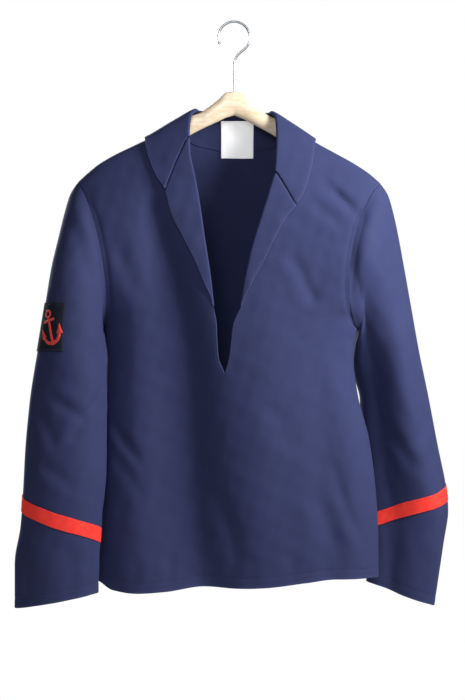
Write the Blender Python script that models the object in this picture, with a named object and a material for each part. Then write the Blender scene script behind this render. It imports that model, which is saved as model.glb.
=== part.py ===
"""Pullover sailor smock of navy wool gabardine, hanging on a wooden hanger with a wire hook.

Every size below is in millimetres and turns to metres when a mesh is made. +Z is up and the front
faces -Y, so the wearer's right hand is at -X. The origin is the inside of the hook's top, where a
rail carries the hanger. The smock's outer face is one smooth surface: a point on it is given by x
and by how far it drops below the shoulder ridge. Panels, collar and trims are all laid on it.
"""
import math
from collections import namedtuple

import bpy
import bmesh
import numpy as np
from mathutils import Vector
from mathutils.geometry import delaunay_2d_cdt

MM = 0.001
RIGHT, LEFT = -1, 1            # the wearer's hands, as signs of x
FRONT, BACK = -1, 1            # as signs of y

CLOTH = 1.6                    # gabardine wall of the panels and sleeves
FOLDED_CLOTH = 2.0             # collar and lapels, two plies
TRIM = 1.0                     # tapes, patch and label
MOTIF = 0.8                    # the anchor on its patch
SEAM_GAP = 0.3                 # between pieces that are sewn together
NECK_GAP = 0.5                 # between the panels' neck edge and the collar's stand
GORGE_GAP = 0.5                # between the collar and the lapels
REST_GAP = 0.35                # under what lies on another piece
LABEL_GAP = 0.7                # between the label and the collar's stand
TAPE_GAP = 0.6                 # under the tapes, which cross the sleeve's bends
TILT = math.tan(math.radians(2.0))   # the hanger hangs lower towards the wearer's left
BODY_ROUND = 2.4               # exponent of the body's rounded plan
FOLD_RADIUS = 2.0              # of a turned collar or lapel, to the middle of its wall
FOLD_REACH = 3.0               # from the turned edge to the middle of the fold
STAND_SHARES = (0, 0.3, 0.65, 1)             # sections from the neck seam to the fold
FALL_SHARES = (0.2, 0.4, 0.6, 0.8, 1.0)      # sections from the fold to the free edge
EDGE_RISE = 1.0                # how much further off the free edge stands than the fold
STAND_SHORT = 4.5              # from the collar's roll line to the top of its stand
STAND_LEAST = 0.2              # the least share of the way to the roll line that the stand takes
LAPEL_HEADING = (4.0, 1.0, 1.0)   # a lapel turns over sideways more than down
ARM_BOW = 1.3                  # exponent of the armhole seam's bow towards the body
BOW_RINGS = 5                  # sleeve rings over which that bow fades
DRAPE_FADE = 60.0              # drop over which panel rows leave the line of the shoulder ridge
CORNER_Z = -840.0              # about where the side seam meets the hem

ARM_STEPS = 12                 # panel rows along half an armhole
PANEL_COLUMNS = 10             # across half a panel
HEM_ROWS = 9                   # from the slit's foot to the hem
SLEEVE_ROWS = 17               # from the armhole to the cuff
PATCH_ROWS = 7
PATCH_COLUMNS = 11
NEAR_X = 0.5                   # steps along the outer face between which its slope is taken
NEAR_S = 0.05
NEAR_PLACE = 0.05              # the same along a sleeve, counted in rings
SMALL = 1e-6                   # taken as zero
HALVINGS = 26                  # of a sleeve's length when looking for a height
UNDERARM_ROWS = (-466.0, -475.0, -492.0, -520.0)
SLIT_ROWS = (-455.0, -480.0, -505.0, -530.0)

Ridge = namedtuple("Ridge", "x z")
RIDGE = (
    Ridge(0, -123.0), Ridge(30, -126.8), Ridge(60, -136.3), Ridge(82, -149.6),
    Ridge(100, -161.0), Ridge(125, -177.3), Ridge(151, -190.8), Ridge(180, -205.8),
    Ridge(204, -220.8), Ridge(222, -236.0), Ridge(238, -251.5), Ridge(300, -320.0))

Girth = namedtuple("Girth", "z right left")      # half widths towards each hand
GIRTHS = (
    Girth(-870, 211.0, 218.0), Girth(-779, 208.0, 218.0), Girth(-719, 205.0, 215.0),
    Girth(-629, 201.0, 204.0), Girth(-562, 195.0, 187.0), Girth(-510, 193.0, 180.5),
    Girth(-480, 195.0, 182.0), Girth(-468, 197.0, 185.5), Girth(-462, 197.0, 187.0),
    Girth(-447, 203.0, 193.0), Girth(-430, 226.0, 216.0), Girth(-408, 268.0, 256.0),
    Girth(-354, 415.0, 400.0), Girth(-240, 700.0, 700.0))

Depth = namedtuple("Depth", "drop front back")
DEPTHS = (
    Depth(0, 0.0, 0.0), Depth(5, 10.5, 10.0), Depth(10, 14.0, 13.0), Depth(30, 24.0, 21.0),
    Depth(60, 36.0, 31.5), Depth(110, 49.0, 43.0), Depth(200, 60.0, 53.0),
    Depth(300, 66.0, 58.0), Depth(500, 71.0, 62.0), Depth(760, 74.0, 64.0))

Fold = namedtuple("Fold", "side top_x top_z mid_x foot_x foot_z width rise")
FOLDS = (
    Fold(FRONT, -70, -230, -46, -40, -950, 24, -14.0),
    Fold(FRONT, -112, -300, -110, -104, -950, 32, 8.0),
    Fold(FRONT, 45, -420, 40, 20, -950, 40, 6.0),
    Fold(FRONT, 130, -560, 142, 150, -950, 22, -7.0),
    Fold(FRONT, 175, -600, 180, 186, -950, 20, 5.0),
    Fold(FRONT, 129, -235, 160, 186, -300, 9, -4.0),
    Fold(BACK, -60, -300, -66, -72, -950, 28, -10.0),
    Fold(BACK, 95, -330, 100, 104, -950, 26, -11.0),
    Fold(BACK, 10, -280, 14, 18, -950, 34, 7.0),
    Fold(BACK, -130, -360, -138, -144, -950, 30, 6.0))
FOLD_FADE = 150.0              # over which a fold's ends run out

HemPoint = namedtuple("HemPoint", "x z")
HEM = (
    HemPoint(-230, -836), HemPoint(-205, -839), HemPoint(-181, -851), HemPoint(-148, -854.5),
    HemPoint(-103, -852), HemPoint(-43, -844.5), HemPoint(2, -846), HemPoint(46, -844.5),
    HemPoint(106, -838), HemPoint(150, -834), HemPoint(201, -834), HemPoint(235, -837))

Arm = namedtuple("Arm", "top_x under_x under_z inset")
ARMS = {RIGHT: Arm(237, 197, -462, 20), LEFT: Arm(222, 187, -462, 30)}

# A sleeve's rings, from its outer edge to its inner edge; depth is half its thickness
Ring = namedtuple("Ring", "out_x out_z in_x in_z mid_y depth")
RINGS = {
    RIGHT: (
        Ring(247.7, -260.3, 200.0, -466.8, -2, 56), Ring(255.5, -288.8, 198.5, -475.9, -10, 56),
        Ring(262.9, -325.4, 194.5, -490.0, -24, 55), Ring(272.0, -370.0, 190.0, -508.0, -37, 53),
        Ring(279.5, -420.3, 188.5, -529.8, -45, 51), Ring(288.5, -479.1, 187.9, -559.4, -51, 49),
        Ring(302.3, -568.1, 187.7, -613.5, -54, 46), Ring(308.8, -642.0, 187.9, -667.6, -58, 44),
        Ring(311.5, -697.1, 190.8, -706.9, -60, 43), Ring(315.3, -753.1, 195.1, -753.1, -61, 41),
        Ring(324.0, -810.2, 198.0, -799.0, -62, 37), Ring(324.0, -874.5, 199.5, -852.5, -62, 32)),
    LEFT: (
        Ring(232.8, -260.2, 189.5, -465.8, 2, 54), Ring(241.2, -286.1, 187.5, -473.8, 8, 54),
        Ring(249.8, -320.0, 184.5, -486.9, 19, 53), Ring(259.9, -368.1, 181.5, -508.2, 32, 52),
        Ring(271.2, -426.7, 184.0, -535.8, 42, 50), Ring(284.0, -494.0, 193.0, -571.8, 50, 48),
        Ring(299.0, -563.8, 195.2, -623.4, 56, 46), Ring(313.8, -638.1, 198.7, -677.2, 62, 44),
        Ring(327.0, -703.1, 203.0, -722.7, 64, 42), Ring(331.0, -742.3, 205.1, -752.6, 65, 41),
        Ring(323.6, -793.8, 205.1, -793.8, 65, 39), Ring(314.3, -856.5, 205.1, -834.0, 65, 35),
        Ring(309.5, -888.0, 204.1, -851.0, 65, 32))}

# Stations round the collar, from the gorge seam to the back; a drop on the front is negative
Station = namedtuple("Station", "seam_x seam_drop roll_x roll_drop edge_x edge_drop")
COLLAR = {
    RIGHT: (
        Station(71.0, -37.0, 66.0, -38.5, 101.4, -97), Station(72.5, -29.0, 66.0, -32, 116, -66),
        Station(75.5, -17.0, 65.0, -17, 125, -38.5), Station(79.0, -4.0, 62.0, -5, 131, -14),
        Station(80.0, 0.0, 57.0, -1, 132.5, 0), Station(79.5, 6.0, 52.0, 2, 131, 14),
        Station(76.0, 27.0, 42.0, 5, 123, 32), Station(62.0, 46.0, 30.0, 8, 105, 55),
        Station(38.0, 60.0, 17.0, 11.5, 70, 83)),
    LEFT: (
        Station(65.5, -90.0, 60.0, -92, 91.4, -120), Station(68.5, -62.0, 61.7, -64, 101.7, -97),
        Station(73.0, -35.0, 63.0, -34, 111.5, -60), Station(77.0, -8.0, 61.5, -7, 118, -24),
        Station(78.0, 0.0, 56.0, -1, 121, 0), Station(77.5, 6.0, 51.0, 2, 120, 14),
        Station(74.5, 27.0, 41.0, 5, 113, 32), Station(61.0, 46.0, 29.0, 8, 97, 55),
        Station(37.0, 60.0, 16.5, 11.5, 66, 83))}
COLLAR_CENTRE = Station(0, 70.5, 0, 14, 0, 100)
RIDGE_STATION = 4              # the station on the shoulder ridge

# The lapels' turned edges and free edges, from the gorge seam down
LAPEL_ROLL = {
    RIGHT: ((-66, -178), (-64.5, -202), (-57, -238), (-49.5, -282), (-43.5, -323),
            (-37.5, -362), (-31.6, -401), (-27.3, -429)),
    LEFT: ((60, -232), (58.8, -235), (47, -273), (36.5, -306), (26, -341), (17.2, -380),
           (9.8, -418.5), (7.2, -429))}
LAPEL_EDGE = {
    RIGHT: ((-101.4, -257), (-91, -294), (-73, -329.5), (-57, -362), (-43.5, -395),
            (-36.5, -418), (-34.5, -431)),
    LEFT: ((91.4, -280.6), (75, -301), (60, -329), (42.5, -365), (24.6, -398), (14.2, -429))}
SLIT_EDGE = {
    RIGHT: ((-27, -430), (-25.8, -469), (-22.8, -510), (-13.5, -530)),
    LEFT: ((7.0, -430), (-0.6, -454), (-5, -489.6), (-9.5, -519), (-13.5, -530))}
CENTRE_FOOT_X = -4.0           # where the front's centre line meets the hem

# Tapes: the height of the middle line at each angle round the sleeve, 0 at its outer edge
TapeStop = namedtuple("TapeStop", "degrees z")
TAPE_WIDTH = 21.0
TAPES = {
    RIGHT: (TapeStop(-75, -697), TapeStop(0, -719), TapeStop(45, -730), TapeStop(90, -745),
            TapeStop(135, -758), TapeStop(180, -768)),
    LEFT: (TapeStop(-75, -690), TapeStop(0, -716), TapeStop(45, -722), TapeStop(90, -736),
           TapeStop(135, -750), TapeStop(180, -762))}

PATCH_DEGREES = (2.0, 76.0)    # round the wearer's right sleeve
PATCH_HEIGHT = (-425.0, -496.0)
PATCH_RADIUS = 51.0            # of the sleeve there
ANCHOR_CENTRE = (38.0, -462.0)   # degrees round the sleeve, and height
ANCHOR_LEAN = math.radians(15.0)
RING_HEIGHT = 21.2             # of the anchor's ring above its middle
ANCHOR_STEP = 3.5              # longest edge of its outline
LABEL_X = (-19.5, 29.5)
LABEL_Z = (-146.0, -200.5)

BarStop = namedtuple("BarStop", "x top foot thick")
BAR = (
    BarStop(0, -104, -140, 14), BarStop(12, -106, -144, 14), BarStop(25, -118, -150.5, 14),
    BarStop(40, -130, -158, 13), BarStop(50, -137.0, -163, 11), BarStop(66, -143.7, -172, 10),
    BarStop(82, -152.4, -181, 10), BarStop(100, -163.7, -190, 11), BarStop(133, -184.3, -207, 11),
    BarStop(177, -207.0, -229, 10), BarStop(204, -223.7, -244, 9), BarStop(214, -232.3, -248, 7))
BAR_ROUND = 2.0
WIRE = 3.5
HOOK_RADIUS = 22.0             # inside
STEM_FOOT = -103.6

Shade = namedtuple("Shade", "red green blue roughness metallic")
NAVY = Shade(0.022, 0.027, 0.075, 0.85, 0.0)
PATCH_BLUE = Shade(0.010, 0.012, 0.030, 0.9, 0.0)
SIGNAL_RED = Shade(0.85, 0.045, 0.035, 0.75, 0.0)
WHITE_TAPE = Shade(0.85, 0.84, 0.80, 0.7, 0.0)
PALE_WOOD = Shade(0.80, 0.62, 0.42, 0.5, 0.0)
STEEL = Shade(0.62, 0.63, 0.64, 0.3, 1.0)


def smooth(at, knots, values):
    """Return the smooth curve through the knots that never overshoots, straight beyond its ends."""
    knots = np.asarray(knots, float)
    values = np.asarray(values, float)
    if knots[0] > knots[-1]:
        knots = knots[::-1]
        values = values[::-1]
    spans = np.diff(knots)
    grades = (np.diff(values, axis=0).T / spans).T
    slopes = np.zeros_like(values)
    slopes[0] = grades[0]
    slopes[-1] = grades[-1]
    for i in range(1, len(knots) - 1):
        before = 2 * spans[i] + spans[i - 1]
        after = spans[i] + 2 * spans[i - 1]
        alike = grades[i - 1] * grades[i] > 0
        low = np.where(alike, grades[i - 1], 1.0)
        high = np.where(alike, grades[i], 1.0)
        slopes[i] = np.where(alike, (before + after) / (before / low + after / high), 0.0)
    at = np.asarray(at, float)
    held = np.clip(at, knots[0], knots[-1])
    i = np.clip(np.searchsorted(knots, held, side="right") - 1, 0, len(spans) - 1)
    t = (held - knots[i]) / spans[i]
    spread = at.shape + (1,) * (values.ndim - 1)
    t = t.reshape(spread)
    span = spans[i].reshape(spread)
    past = (at - held).reshape(spread)
    end_slope = np.where(past > 0, slopes[-1], slopes[0])
    curve = ((2 * t**3 - 3 * t**2 + 1) * values[i] + (t**3 - 2 * t**2 + t) * span * slopes[i]
             + (3 * t**2 - 2 * t**3) * values[i + 1] + (t**3 - t**2) * span * slopes[i + 1])
    return curve + past * end_slope


def column(rows, name):
    """Return one named column of a table as an array."""
    return np.array([getattr(row, name) for row in rows], float)


def along(path, shares):
    """Return the points at these shares of a path's length."""
    path = np.asarray(path, float)
    steps = np.linalg.norm(np.diff(path, axis=0), axis=1)
    run = np.concatenate(([0.0], np.cumsum(steps)))
    return smooth(np.asarray(shares) * run[-1], run, path)


def unit(vectors):
    """Return the vectors at length one."""
    vectors = np.asarray(vectors, float)
    return vectors / np.linalg.norm(vectors, axis=-1, keepdims=True)


def ridge_height(x):
    """Return the shoulder ridge's height at x."""
    return smooth(np.abs(x), column(RIDGE, "x"), column(RIDGE, "z")) - np.asarray(x) * TILT


def half_width(x, z):
    """Return how far out the body's side is at height z, on the side that x is on."""
    heights = column(GIRTHS, "z")
    right = smooth(z, heights, column(GIRTHS, "right"))
    left = smooth(z, heights, column(GIRTHS, "left"))
    return np.where(np.asarray(x) > 0, left, right)


def fold_relief(x, z, side):
    """Return how far the folds of one side raise the cloth at x, z."""
    relief = np.zeros_like(x)
    for fold in FOLDS:
        if fold.side != side:
            continue
        heights = (fold.foot_z, (fold.top_z + fold.foot_z) / 2, fold.top_z)
        line = smooth(z, heights, (fold.foot_x, fold.mid_x, fold.top_x))
        start = np.clip((fold.top_z - z) / FOLD_FADE + 0.5, 0, 1)
        end = np.clip((z - fold.foot_z) / FOLD_FADE + 0.5, 0, 1)
        fade = start * start * (3 - 2 * start) * end * end * (3 - 2 * end)
        relief = relief + fold.rise * np.exp(-((x - line) / fold.width) ** 2) * fade
    return relief


def root(drop):
    """Return the signed root of a drop, in which the surface is smooth over the ridge."""
    drop = np.asarray(drop, float)
    return np.sign(drop) * np.sqrt(np.abs(drop))


def surface(x, s):
    """Return points of the smock's outer face at x and the signed root s of the drop."""
    x, s = np.broadcast_arrays(np.asarray(x, float), np.asarray(s, float))
    z = ridge_height(x) - s * s
    reach = np.clip(np.abs(x) / half_width(x, z), 0, 1)
    roundness = (1 - reach**BODY_ROUND) ** (1 / BODY_ROUND)
    knots = np.sqrt(column(DEPTHS, "drop"))
    front = smooth(np.abs(s), knots, column(DEPTHS, "front")) + fold_relief(x, z, FRONT)
    back = smooth(np.abs(s), knots, column(DEPTHS, "back")) + fold_relief(x, z, BACK)
    y = np.where(s < 0, -front, back) * roundness * np.where(s == 0, 0, 1)
    return np.stack([x, y, z], axis=-1)


def surface_normal(x, s):
    """Return the outward unit normals there."""
    across = surface(x + NEAR_X, s) - surface(x - NEAR_X, s)
    down = surface(x, s + NEAR_S) - surface(x, s - NEAR_S)
    return unit(np.cross(across, down))


def lifted(x, s, lift):
    """Return points that stand off the smock's outer face."""
    return surface(x, s) + surface_normal(x, s) * np.asarray(lift)[..., None]


def root_at(x, z, side):
    """Return the signed root of the drop at height z on one side."""
    return side * np.sqrt(np.maximum(ridge_height(x) - z, 0))


def on_side(x, z, side):
    """Return points of the outer face at x, z on the front or the back."""
    return surface(x, root_at(x, z, side))


def armhole(hand, angles):
    """Return the armhole seam: angle 0 at the shoulder, 180 degrees under the arm, front first."""
    arm = ARMS[hand]
    top = np.array([hand * arm.top_x, ridge_height(hand * arm.top_x)])
    foot = np.array([hand * arm.under_x, arm.under_z])
    middle = (top + foot) / 2
    half = (top - foot) / 2
    sway = np.abs(np.sin(angles)) ** ARM_BOW
    x = middle[0] + half[0] * np.cos(angles) - hand * arm.inset * sway
    z = middle[1] + half[1] * np.cos(angles)
    front = on_side(x, z, FRONT)
    back = on_side(x, z, BACK)
    points = np.where((np.sin(angles) > 0)[:, None], front, back)
    points[np.abs(np.sin(angles)) < SMALL, 1] = 0.0
    return points


def armhole_lead(hand, angles):
    """Return the direction in which the cloth is thick at the armhole seam, on both its sides."""
    out = hand * 0.5 * np.maximum(np.cos(angles), 0)
    return unit(np.stack([out, -np.sin(angles), np.cos(angles)], axis=-1))


class Sheet:
    """Grids of points that join where they coincide, to be given a wall."""

    def __init__(self):
        self.numbers = {}
        self.points = []
        self.faces = []
        self.leads = {}
        self.free_leads = {}

    def number(self, point):
        """Return the number of a point, which it keeps in every grid."""
        key = tuple(np.round(point, 3) + 0.0)
        if key not in self.numbers:
            self.numbers[key] = len(self.points)
            self.points.append(np.array(point, float))
        return self.numbers[key]

    def add(self, grid, flip=False):
        """Add a grid of rows and columns of points."""
        rows, columns = grid.shape[:2]
        ids = [[self.number(grid[r, c]) for c in range(columns)] for r in range(rows)]
        for r in range(rows - 1):
            for c in range(columns - 1):
                face = [ids[r][c], ids[r][c + 1], ids[r + 1][c + 1], ids[r + 1][c]]
                face = [n for i, n in enumerate(face) if n != face[i - 1]]
                if len(set(face)) >= 3:
                    self.faces.append(face[::-1] if flip else face)

    def lead(self, points, directions, either=False):
        """Set the directions in which the wall is thick at these points, or either way along them."""
        kept = self.free_leads if either else self.leads
        for point, direction in zip(points, directions):
            kept[self.number(point)] = direction

    def normals(self):
        """Return the unit normals at the points, with the set directions in place."""
        points = np.array(self.points)
        normals = np.zeros_like(points)
        for face in self.faces:
            corners = points[face]
            normal = sum(np.cross(corners[i] - corners[0], corners[i + 1] - corners[0])
                         for i in range(1, len(face) - 1))
            normals[face] += normal
        normals = unit(normals)
        for number, direction in self.leads.items():
            normals[number] = direction
        for number, direction in self.free_leads.items():
            normals[number] = direction * math.copysign(1, normals[number] @ direction)
        return normals

    def solid(self, out, inward):
        """Return the points and faces of a closed wall about the sheet."""
        points = np.array(self.points)
        normals = self.normals()
        count = len(points)
        walls = np.concatenate([points + normals * out, points - normals * inward])
        faces = list(self.faces)
        faces += [[n + count for n in face[::-1]] for face in self.faces]
        edges = {}
        for face in self.faces:
            for i, n in enumerate(face):
                edges[(face[i - 1], n)] = True
        for start, end in edges:
            if (end, start) not in edges:
                faces.append([end, start, start + count, end + count])
        return walls, faces


def add_object(name, points, faces, shade, parent):
    """Make a mesh object from points in millimetres, with its normals out and its own material."""
    mesh = bpy.data.meshes.new(name)
    mesh.from_pydata([tuple(p * MM) for p in np.asarray(points)], [], faces)
    made = bmesh.new()
    made.from_mesh(mesh)
    bmesh.ops.triangulate(made, faces=made.faces[:], quad_method="SHORT_EDGE")
    bmesh.ops.recalc_face_normals(made, faces=made.faces[:])
    made.to_mesh(mesh)
    made.free()
    mesh.shade_smooth()
    mesh.set_sharp_from_angle(angle=math.radians(40))
    thing = bpy.data.objects.new(name, mesh)
    finish(thing, name, shade, parent)
    return thing


def finish(thing, name, shade, parent):
    """Link an object, parent it and give it a Principled material."""
    bpy.context.scene.collection.objects.link(thing)
    thing.parent = parent
    material = bpy.data.materials.new(name + "_finish")
    material.use_nodes = True
    shader = material.node_tree.nodes["Principled BSDF"]
    shader.inputs["Base Color"].default_value = (shade.red, shade.green, shade.blue, 1)
    shader.inputs["Roughness"].default_value = shade.roughness
    shader.inputs["Metallic"].default_value = shade.metallic
    thing.data.materials.append(material)


def turned_edge(roll, heading, crease):
    """Return the fold's middle line, its unit normal and the direction over the cloth.

    roll holds x and s of the turned edge, heading points roughly over the cloth, crease along it.
    """
    normal = surface_normal(*roll)
    over = unit(np.cross(normal, crease))
    over = over * np.sign(np.sum(over * heading))
    return surface(*roll) + FOLD_REACH * over, normal, over


def fold_points(middle, normal, over):
    """Return the turned edge in section, from under the cloth to over it."""
    turns = np.radians(np.arange(0, 181, 45))
    return [middle + normal * (1 - FOLD_RADIUS * math.cos(t)) - over * FOLD_RADIUS * math.sin(t)
            for t in turns]


def fall_points(middle, edge):
    """Return points over the cloth from the fold's middle to the free edge."""
    drop = max(ridge_height(middle[0]) - middle[2], 0)
    start = np.array([middle[0], math.copysign(math.sqrt(drop), middle[1])])
    return [lifted(*(start + (np.asarray(edge) - start) * share), 1 + FOLD_RADIUS + EDGE_RISE * share)
            for share in FALL_SHARES]


def crease_directions(points):
    """Return the running directions of a line of points."""
    return unit(np.gradient(np.asarray(points), axis=0))


def front_root(x, z):
    """Return the signed root of a front point."""
    return float(root_at(np.float64(x), z, FRONT))


def lapel_rows(hand):
    """Return roll and edge of the lapel as x, s pairs, row by row from the gorge seam."""
    shares = np.linspace(0, 1, ARM_STEPS - RIDGE_STATION + 1)
    roll = along(LAPEL_ROLL[hand], shares)
    edge = along(LAPEL_EDGE[hand], shares)
    rolls = [(x, front_root(x, z)) for x, z in roll]
    edges = [(x, front_root(x, z)) for x, z in edge]
    return rolls, edges


def lapel_folds(hand):
    """Return the lapel's edges, folds and crease directions, row by row."""
    rolls, edges = lapel_rows(hand)
    crease = crease_directions([surface(*roll) for roll in rolls])
    folds = []
    for roll, edge, direction in zip(rolls, edges, crease):
        heading = surface(*edge) - surface(*roll)
        heading = heading * np.array(LAPEL_HEADING)
        folds.append(turned_edge(roll, heading, direction))
    return edges, folds, crease


def collar_stations():
    """Return seam, roll and edge of every station as x, s pairs, wearer's right to left."""
    def placed(station, hand):
        return tuple((hand * getattr(station, part + "_x"),
                      float(root(getattr(station, part + "_drop"))))
                     for part in ("seam", "roll", "edge"))
    right = [placed(station, RIGHT) for station in COLLAR[RIGHT]]
    left = [placed(station, LEFT) for station in COLLAR[LEFT]]
    return right + [placed(COLLAR_CENTRE, LEFT)] + left[::-1]


def closer_stations(stations):
    """Return the stations with one more between those that are next to the shoulder ridges."""
    last = len(stations) - 1
    closer = [stations[0]]
    for i in range(1, last + 1):
        if min(abs(i - 0.5 - RIDGE_STATION), abs(last - i + 0.5 - RIDGE_STATION)) < 2:
            pairs = zip(stations[i - 1], stations[i])
            closer.append(tuple(((a[0] + b[0]) / 2, (a[1] + b[1]) / 2) for a, b in pairs))
        closer.append(stations[i])
    return closer


def neck_points(hand, side):
    """Return the panel's neck edge, from the shoulder ridge, set back by the seam gap."""
    rows = COLLAR[hand]
    if side == FRONT:
        chosen = rows[RIDGE_STATION::-1]
    else:
        chosen = rows[RIDGE_STATION:] + (COLLAR_CENTRE,)
    points = []
    for station in chosen:
        seam = surface(hand * station.seam_x, root(station.seam_drop))
        roll = surface(hand * station.roll_x, root(station.roll_drop))
        back_off = unit(seam - roll) * NECK_GAP
        x = seam[0] + back_off[0]
        if station.seam_drop == 0:
            z = ridge_height(x)
        else:
            z = seam[2] + back_off[2]
        points.append((float(x), float(z)))
    if side == BACK:
        points[-1] = (0.0, points[-1][1])
    return points


def inner_edge(hand, side):
    """Return the panel half's inner edge as x, z points, one for each row down to the hem."""
    points = neck_points(hand, side)
    if side == FRONT:
        folds = lapel_folds(hand)[1]
        for middle, _, over in folds[1:]:
            place = middle + over * SEAM_GAP
            points.append((float(place[0]), float(place[2])))
        slit = np.array(SLIT_EDGE[hand], float)
        for z in SLIT_ROWS:
            points.append((float(smooth(z, slit[:, 1], slit[:, 0])), z))
        foot = np.array([CENTRE_FOOT_X, hem_height(CENTRE_FOOT_X)])
    else:
        start = np.array(points[-1])
        rows = ARM_STEPS + 1 + len(UNDERARM_ROWS) - len(points)
        for i in range(1, rows + 1):
            points.append((0.0, start[1] + (SLIT_ROWS[-1] - start[1]) * i / rows))
        foot = np.array([0.0, hem_height(0.0)])
    top = np.array(points[-1])
    for i in range(1, HEM_ROWS + 1):
        points.append(tuple(top + (foot - top) * i / HEM_ROWS))
    return points


def hem_height(x):
    """Return the height of the body's lower edge at x."""
    return smooth(x, column(HEM, "x"), column(HEM, "z"))


def outer_edge(hand):
    """Return the panel half's outer edge as x, z points, from the shoulder seam to the hem."""
    angles = np.linspace(0, math.pi, ARM_STEPS + 1)
    points = [(float(p[0]), float(p[2])) for p in armhole(hand, angles)]
    for z in UNDERARM_ROWS:
        points.append((hand * float(half_width(hand, z)), z))
    start = UNDERARM_ROWS[-1]
    corner = hem_height(hand * float(half_width(hand, CORNER_Z)))
    for i in range(1, HEM_ROWS + 1):
        z = start + (corner - start) * i / HEM_ROWS
        points.append((hand * float(half_width(hand, z)), float(z)))
    return points


def half_panel(hand, side):
    """Return the grid of one half of the front or the back."""
    grid = []
    outer = outer_edge(hand)
    inner = inner_edge(hand, side)
    hem_start = len(outer) - 1 - HEM_ROWS
    for row, ((out_x, out_z), (in_x, in_z)) in enumerate(zip(outer, inner)):
        reach = min(abs(out_x) / float(half_width(hand, out_z)), 1.0)
        start = math.acos(reach)
        turns = start + (math.pi / 2 - start) * np.linspace(0, 1, PANEL_COLUMNS + 1)
        share = np.cos(turns) / max(math.cos(start), SMALL)
        share[0] = 1.0
        share[-1] = 0.0
        x = in_x + (out_x - in_x) * share
        flat_z = in_z + (out_z - in_z) * share
        in_drop = ridge_height(in_x) - in_z
        out_drop = ridge_height(out_x) - out_z
        draped_z = ridge_height(x) - (in_drop + (out_drop - in_drop) * share)
        near = np.exp(-np.maximum(out_drop, in_drop) / DRAPE_FADE)
        z = flat_z + (draped_z - flat_z) * near
        if row >= hem_start:
            straight_hem = inner[-1][1] + (outer[-1][1] - inner[-1][1]) * share
            z = flat_z + (hem_height(x) - straight_hem) * (row - hem_start) / HEM_ROWS
        if row == 0:
            z = ridge_height(x)
        points = on_side(x, z, side)
        if row == 0:
            points[:, 1] = 0.0
        if row >= ARM_STEPS:
            points[0, 1] = 0.0
        grid.append(points)
    grid = np.array(grid)
    grid[:, :, 1] += side * SEAM_GAP / 2
    grid[:ARM_STEPS + 1, 0, 0] -= hand * SEAM_GAP / 2
    return grid


def panel(side):
    """Return the sheet of the front or the back."""
    sheet = Sheet()
    for hand in (RIGHT, LEFT):
        grid = half_panel(hand, side)
        sheet.add(grid, flip=(hand * side > 0))
        angles = np.linspace(0, math.pi, ARM_STEPS + 1)
        seam = grid[:ARM_STEPS + 1, 0]
        sheet.lead(seam, armhole_lead(hand, -side * angles))
        slope = ridge_height(grid[0, 1:, 0] + 1) - ridge_height(grid[0, 1:, 0] - 1)
        ridge = unit(np.stack([-slope / 2, 0 * slope, 1 + 0 * slope], axis=-1))
        sheet.lead(grid[0, 1:], ridge)
        side_seam = grid[ARM_STEPS + 1:, 0]
        sheet.lead(side_seam, np.tile([hand, 0.0, 0.0], (len(side_seam), 1)))
    return sheet


def sleeve_rings(hand, angles):
    """Return the sleeve's rings of points; the first is the armhole seam."""
    rings = [armhole(hand, angles)]
    for number, ring in enumerate(RINGS[hand]):
        out = np.array([hand * ring.out_x, ring.out_z])
        inside = np.array([hand * ring.in_x, ring.in_z])
        middle = (out + inside) / 2
        half = (out - inside) / 2
        left_over = max(0.0, 1 - (number + 1) / BOW_RINGS)
        inset = ARMS[hand].inset * left_over * np.abs(np.sin(angles)) ** ARM_BOW
        x = middle[0] + half[0] * np.cos(angles) - hand * inset
        z = middle[1] + half[1] * np.cos(angles)
        y = ring.mid_y - ring.depth * np.sin(angles)
        rings.append(np.stack([x, y, z], axis=-1))
    return np.array(rings)


def sleeve_point(hand, degrees, place):
    """Return points of the sleeve at angles and at places counted in rings."""
    angles = np.radians(np.atleast_1d(np.asarray(degrees, float)))
    place = np.broadcast_to(np.asarray(place, float), angles.shape)
    rings = sleeve_rings(hand, angles)
    knots = np.arange(len(rings))
    return np.array([smooth(place[i], knots, rings[:, i]) for i in range(len(angles))])


def sleeve_place(hand, degrees, height):
    """Return where along the sleeve these heights lie at these angles."""
    degrees = np.atleast_1d(np.asarray(degrees, float))
    height = np.broadcast_to(np.asarray(height, float), degrees.shape)
    low = np.zeros(len(degrees))
    high = np.full(len(degrees), float(len(RINGS[hand])))
    for _ in range(HALVINGS):
        middle = (low + high) / 2
        above = sleeve_point(hand, degrees, middle)[:, 2] > height
        low = np.where(above, middle, low)
        high = np.where(above, high, middle)
    return (low + high) / 2


def on_sleeve(hand, degrees, height, lift):
    """Return points that stand off the sleeve at angles and heights."""
    degrees = np.atleast_1d(np.asarray(degrees, float))
    place = sleeve_place(hand, degrees, height)
    around = sleeve_point(hand, degrees + 1, place) - sleeve_point(hand, degrees - 1, place)
    down = (sleeve_point(hand, degrees, place + NEAR_PLACE)
            - sleeve_point(hand, degrees, place - NEAR_PLACE))
    normal = unit(np.cross(around, down)) * hand
    return sleeve_point(hand, degrees, place) + normal * lift


def sleeve(hand):
    """Return the sheet of one sleeve."""
    degrees = np.linspace(0, 360, 2 * ARM_STEPS + 1)
    rings = sleeve_rings(hand, np.radians(degrees))
    last = len(rings) - 1
    places = np.concatenate(([0, 0.25, 0.6], np.linspace(1, last, SLEEVE_ROWS - 2)))
    grid = np.array([smooth(place, np.arange(last + 1), rings) for place in places])
    grid[:, -1] = grid[:, 0]
    grid[0, :, 0] += hand * SEAM_GAP / 2
    sheet = Sheet()
    sheet.add(grid, flip=(hand == RIGHT))
    sheet.lead(grid[0], armhole_lead(hand, np.radians(degrees)))
    return sheet


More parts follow.
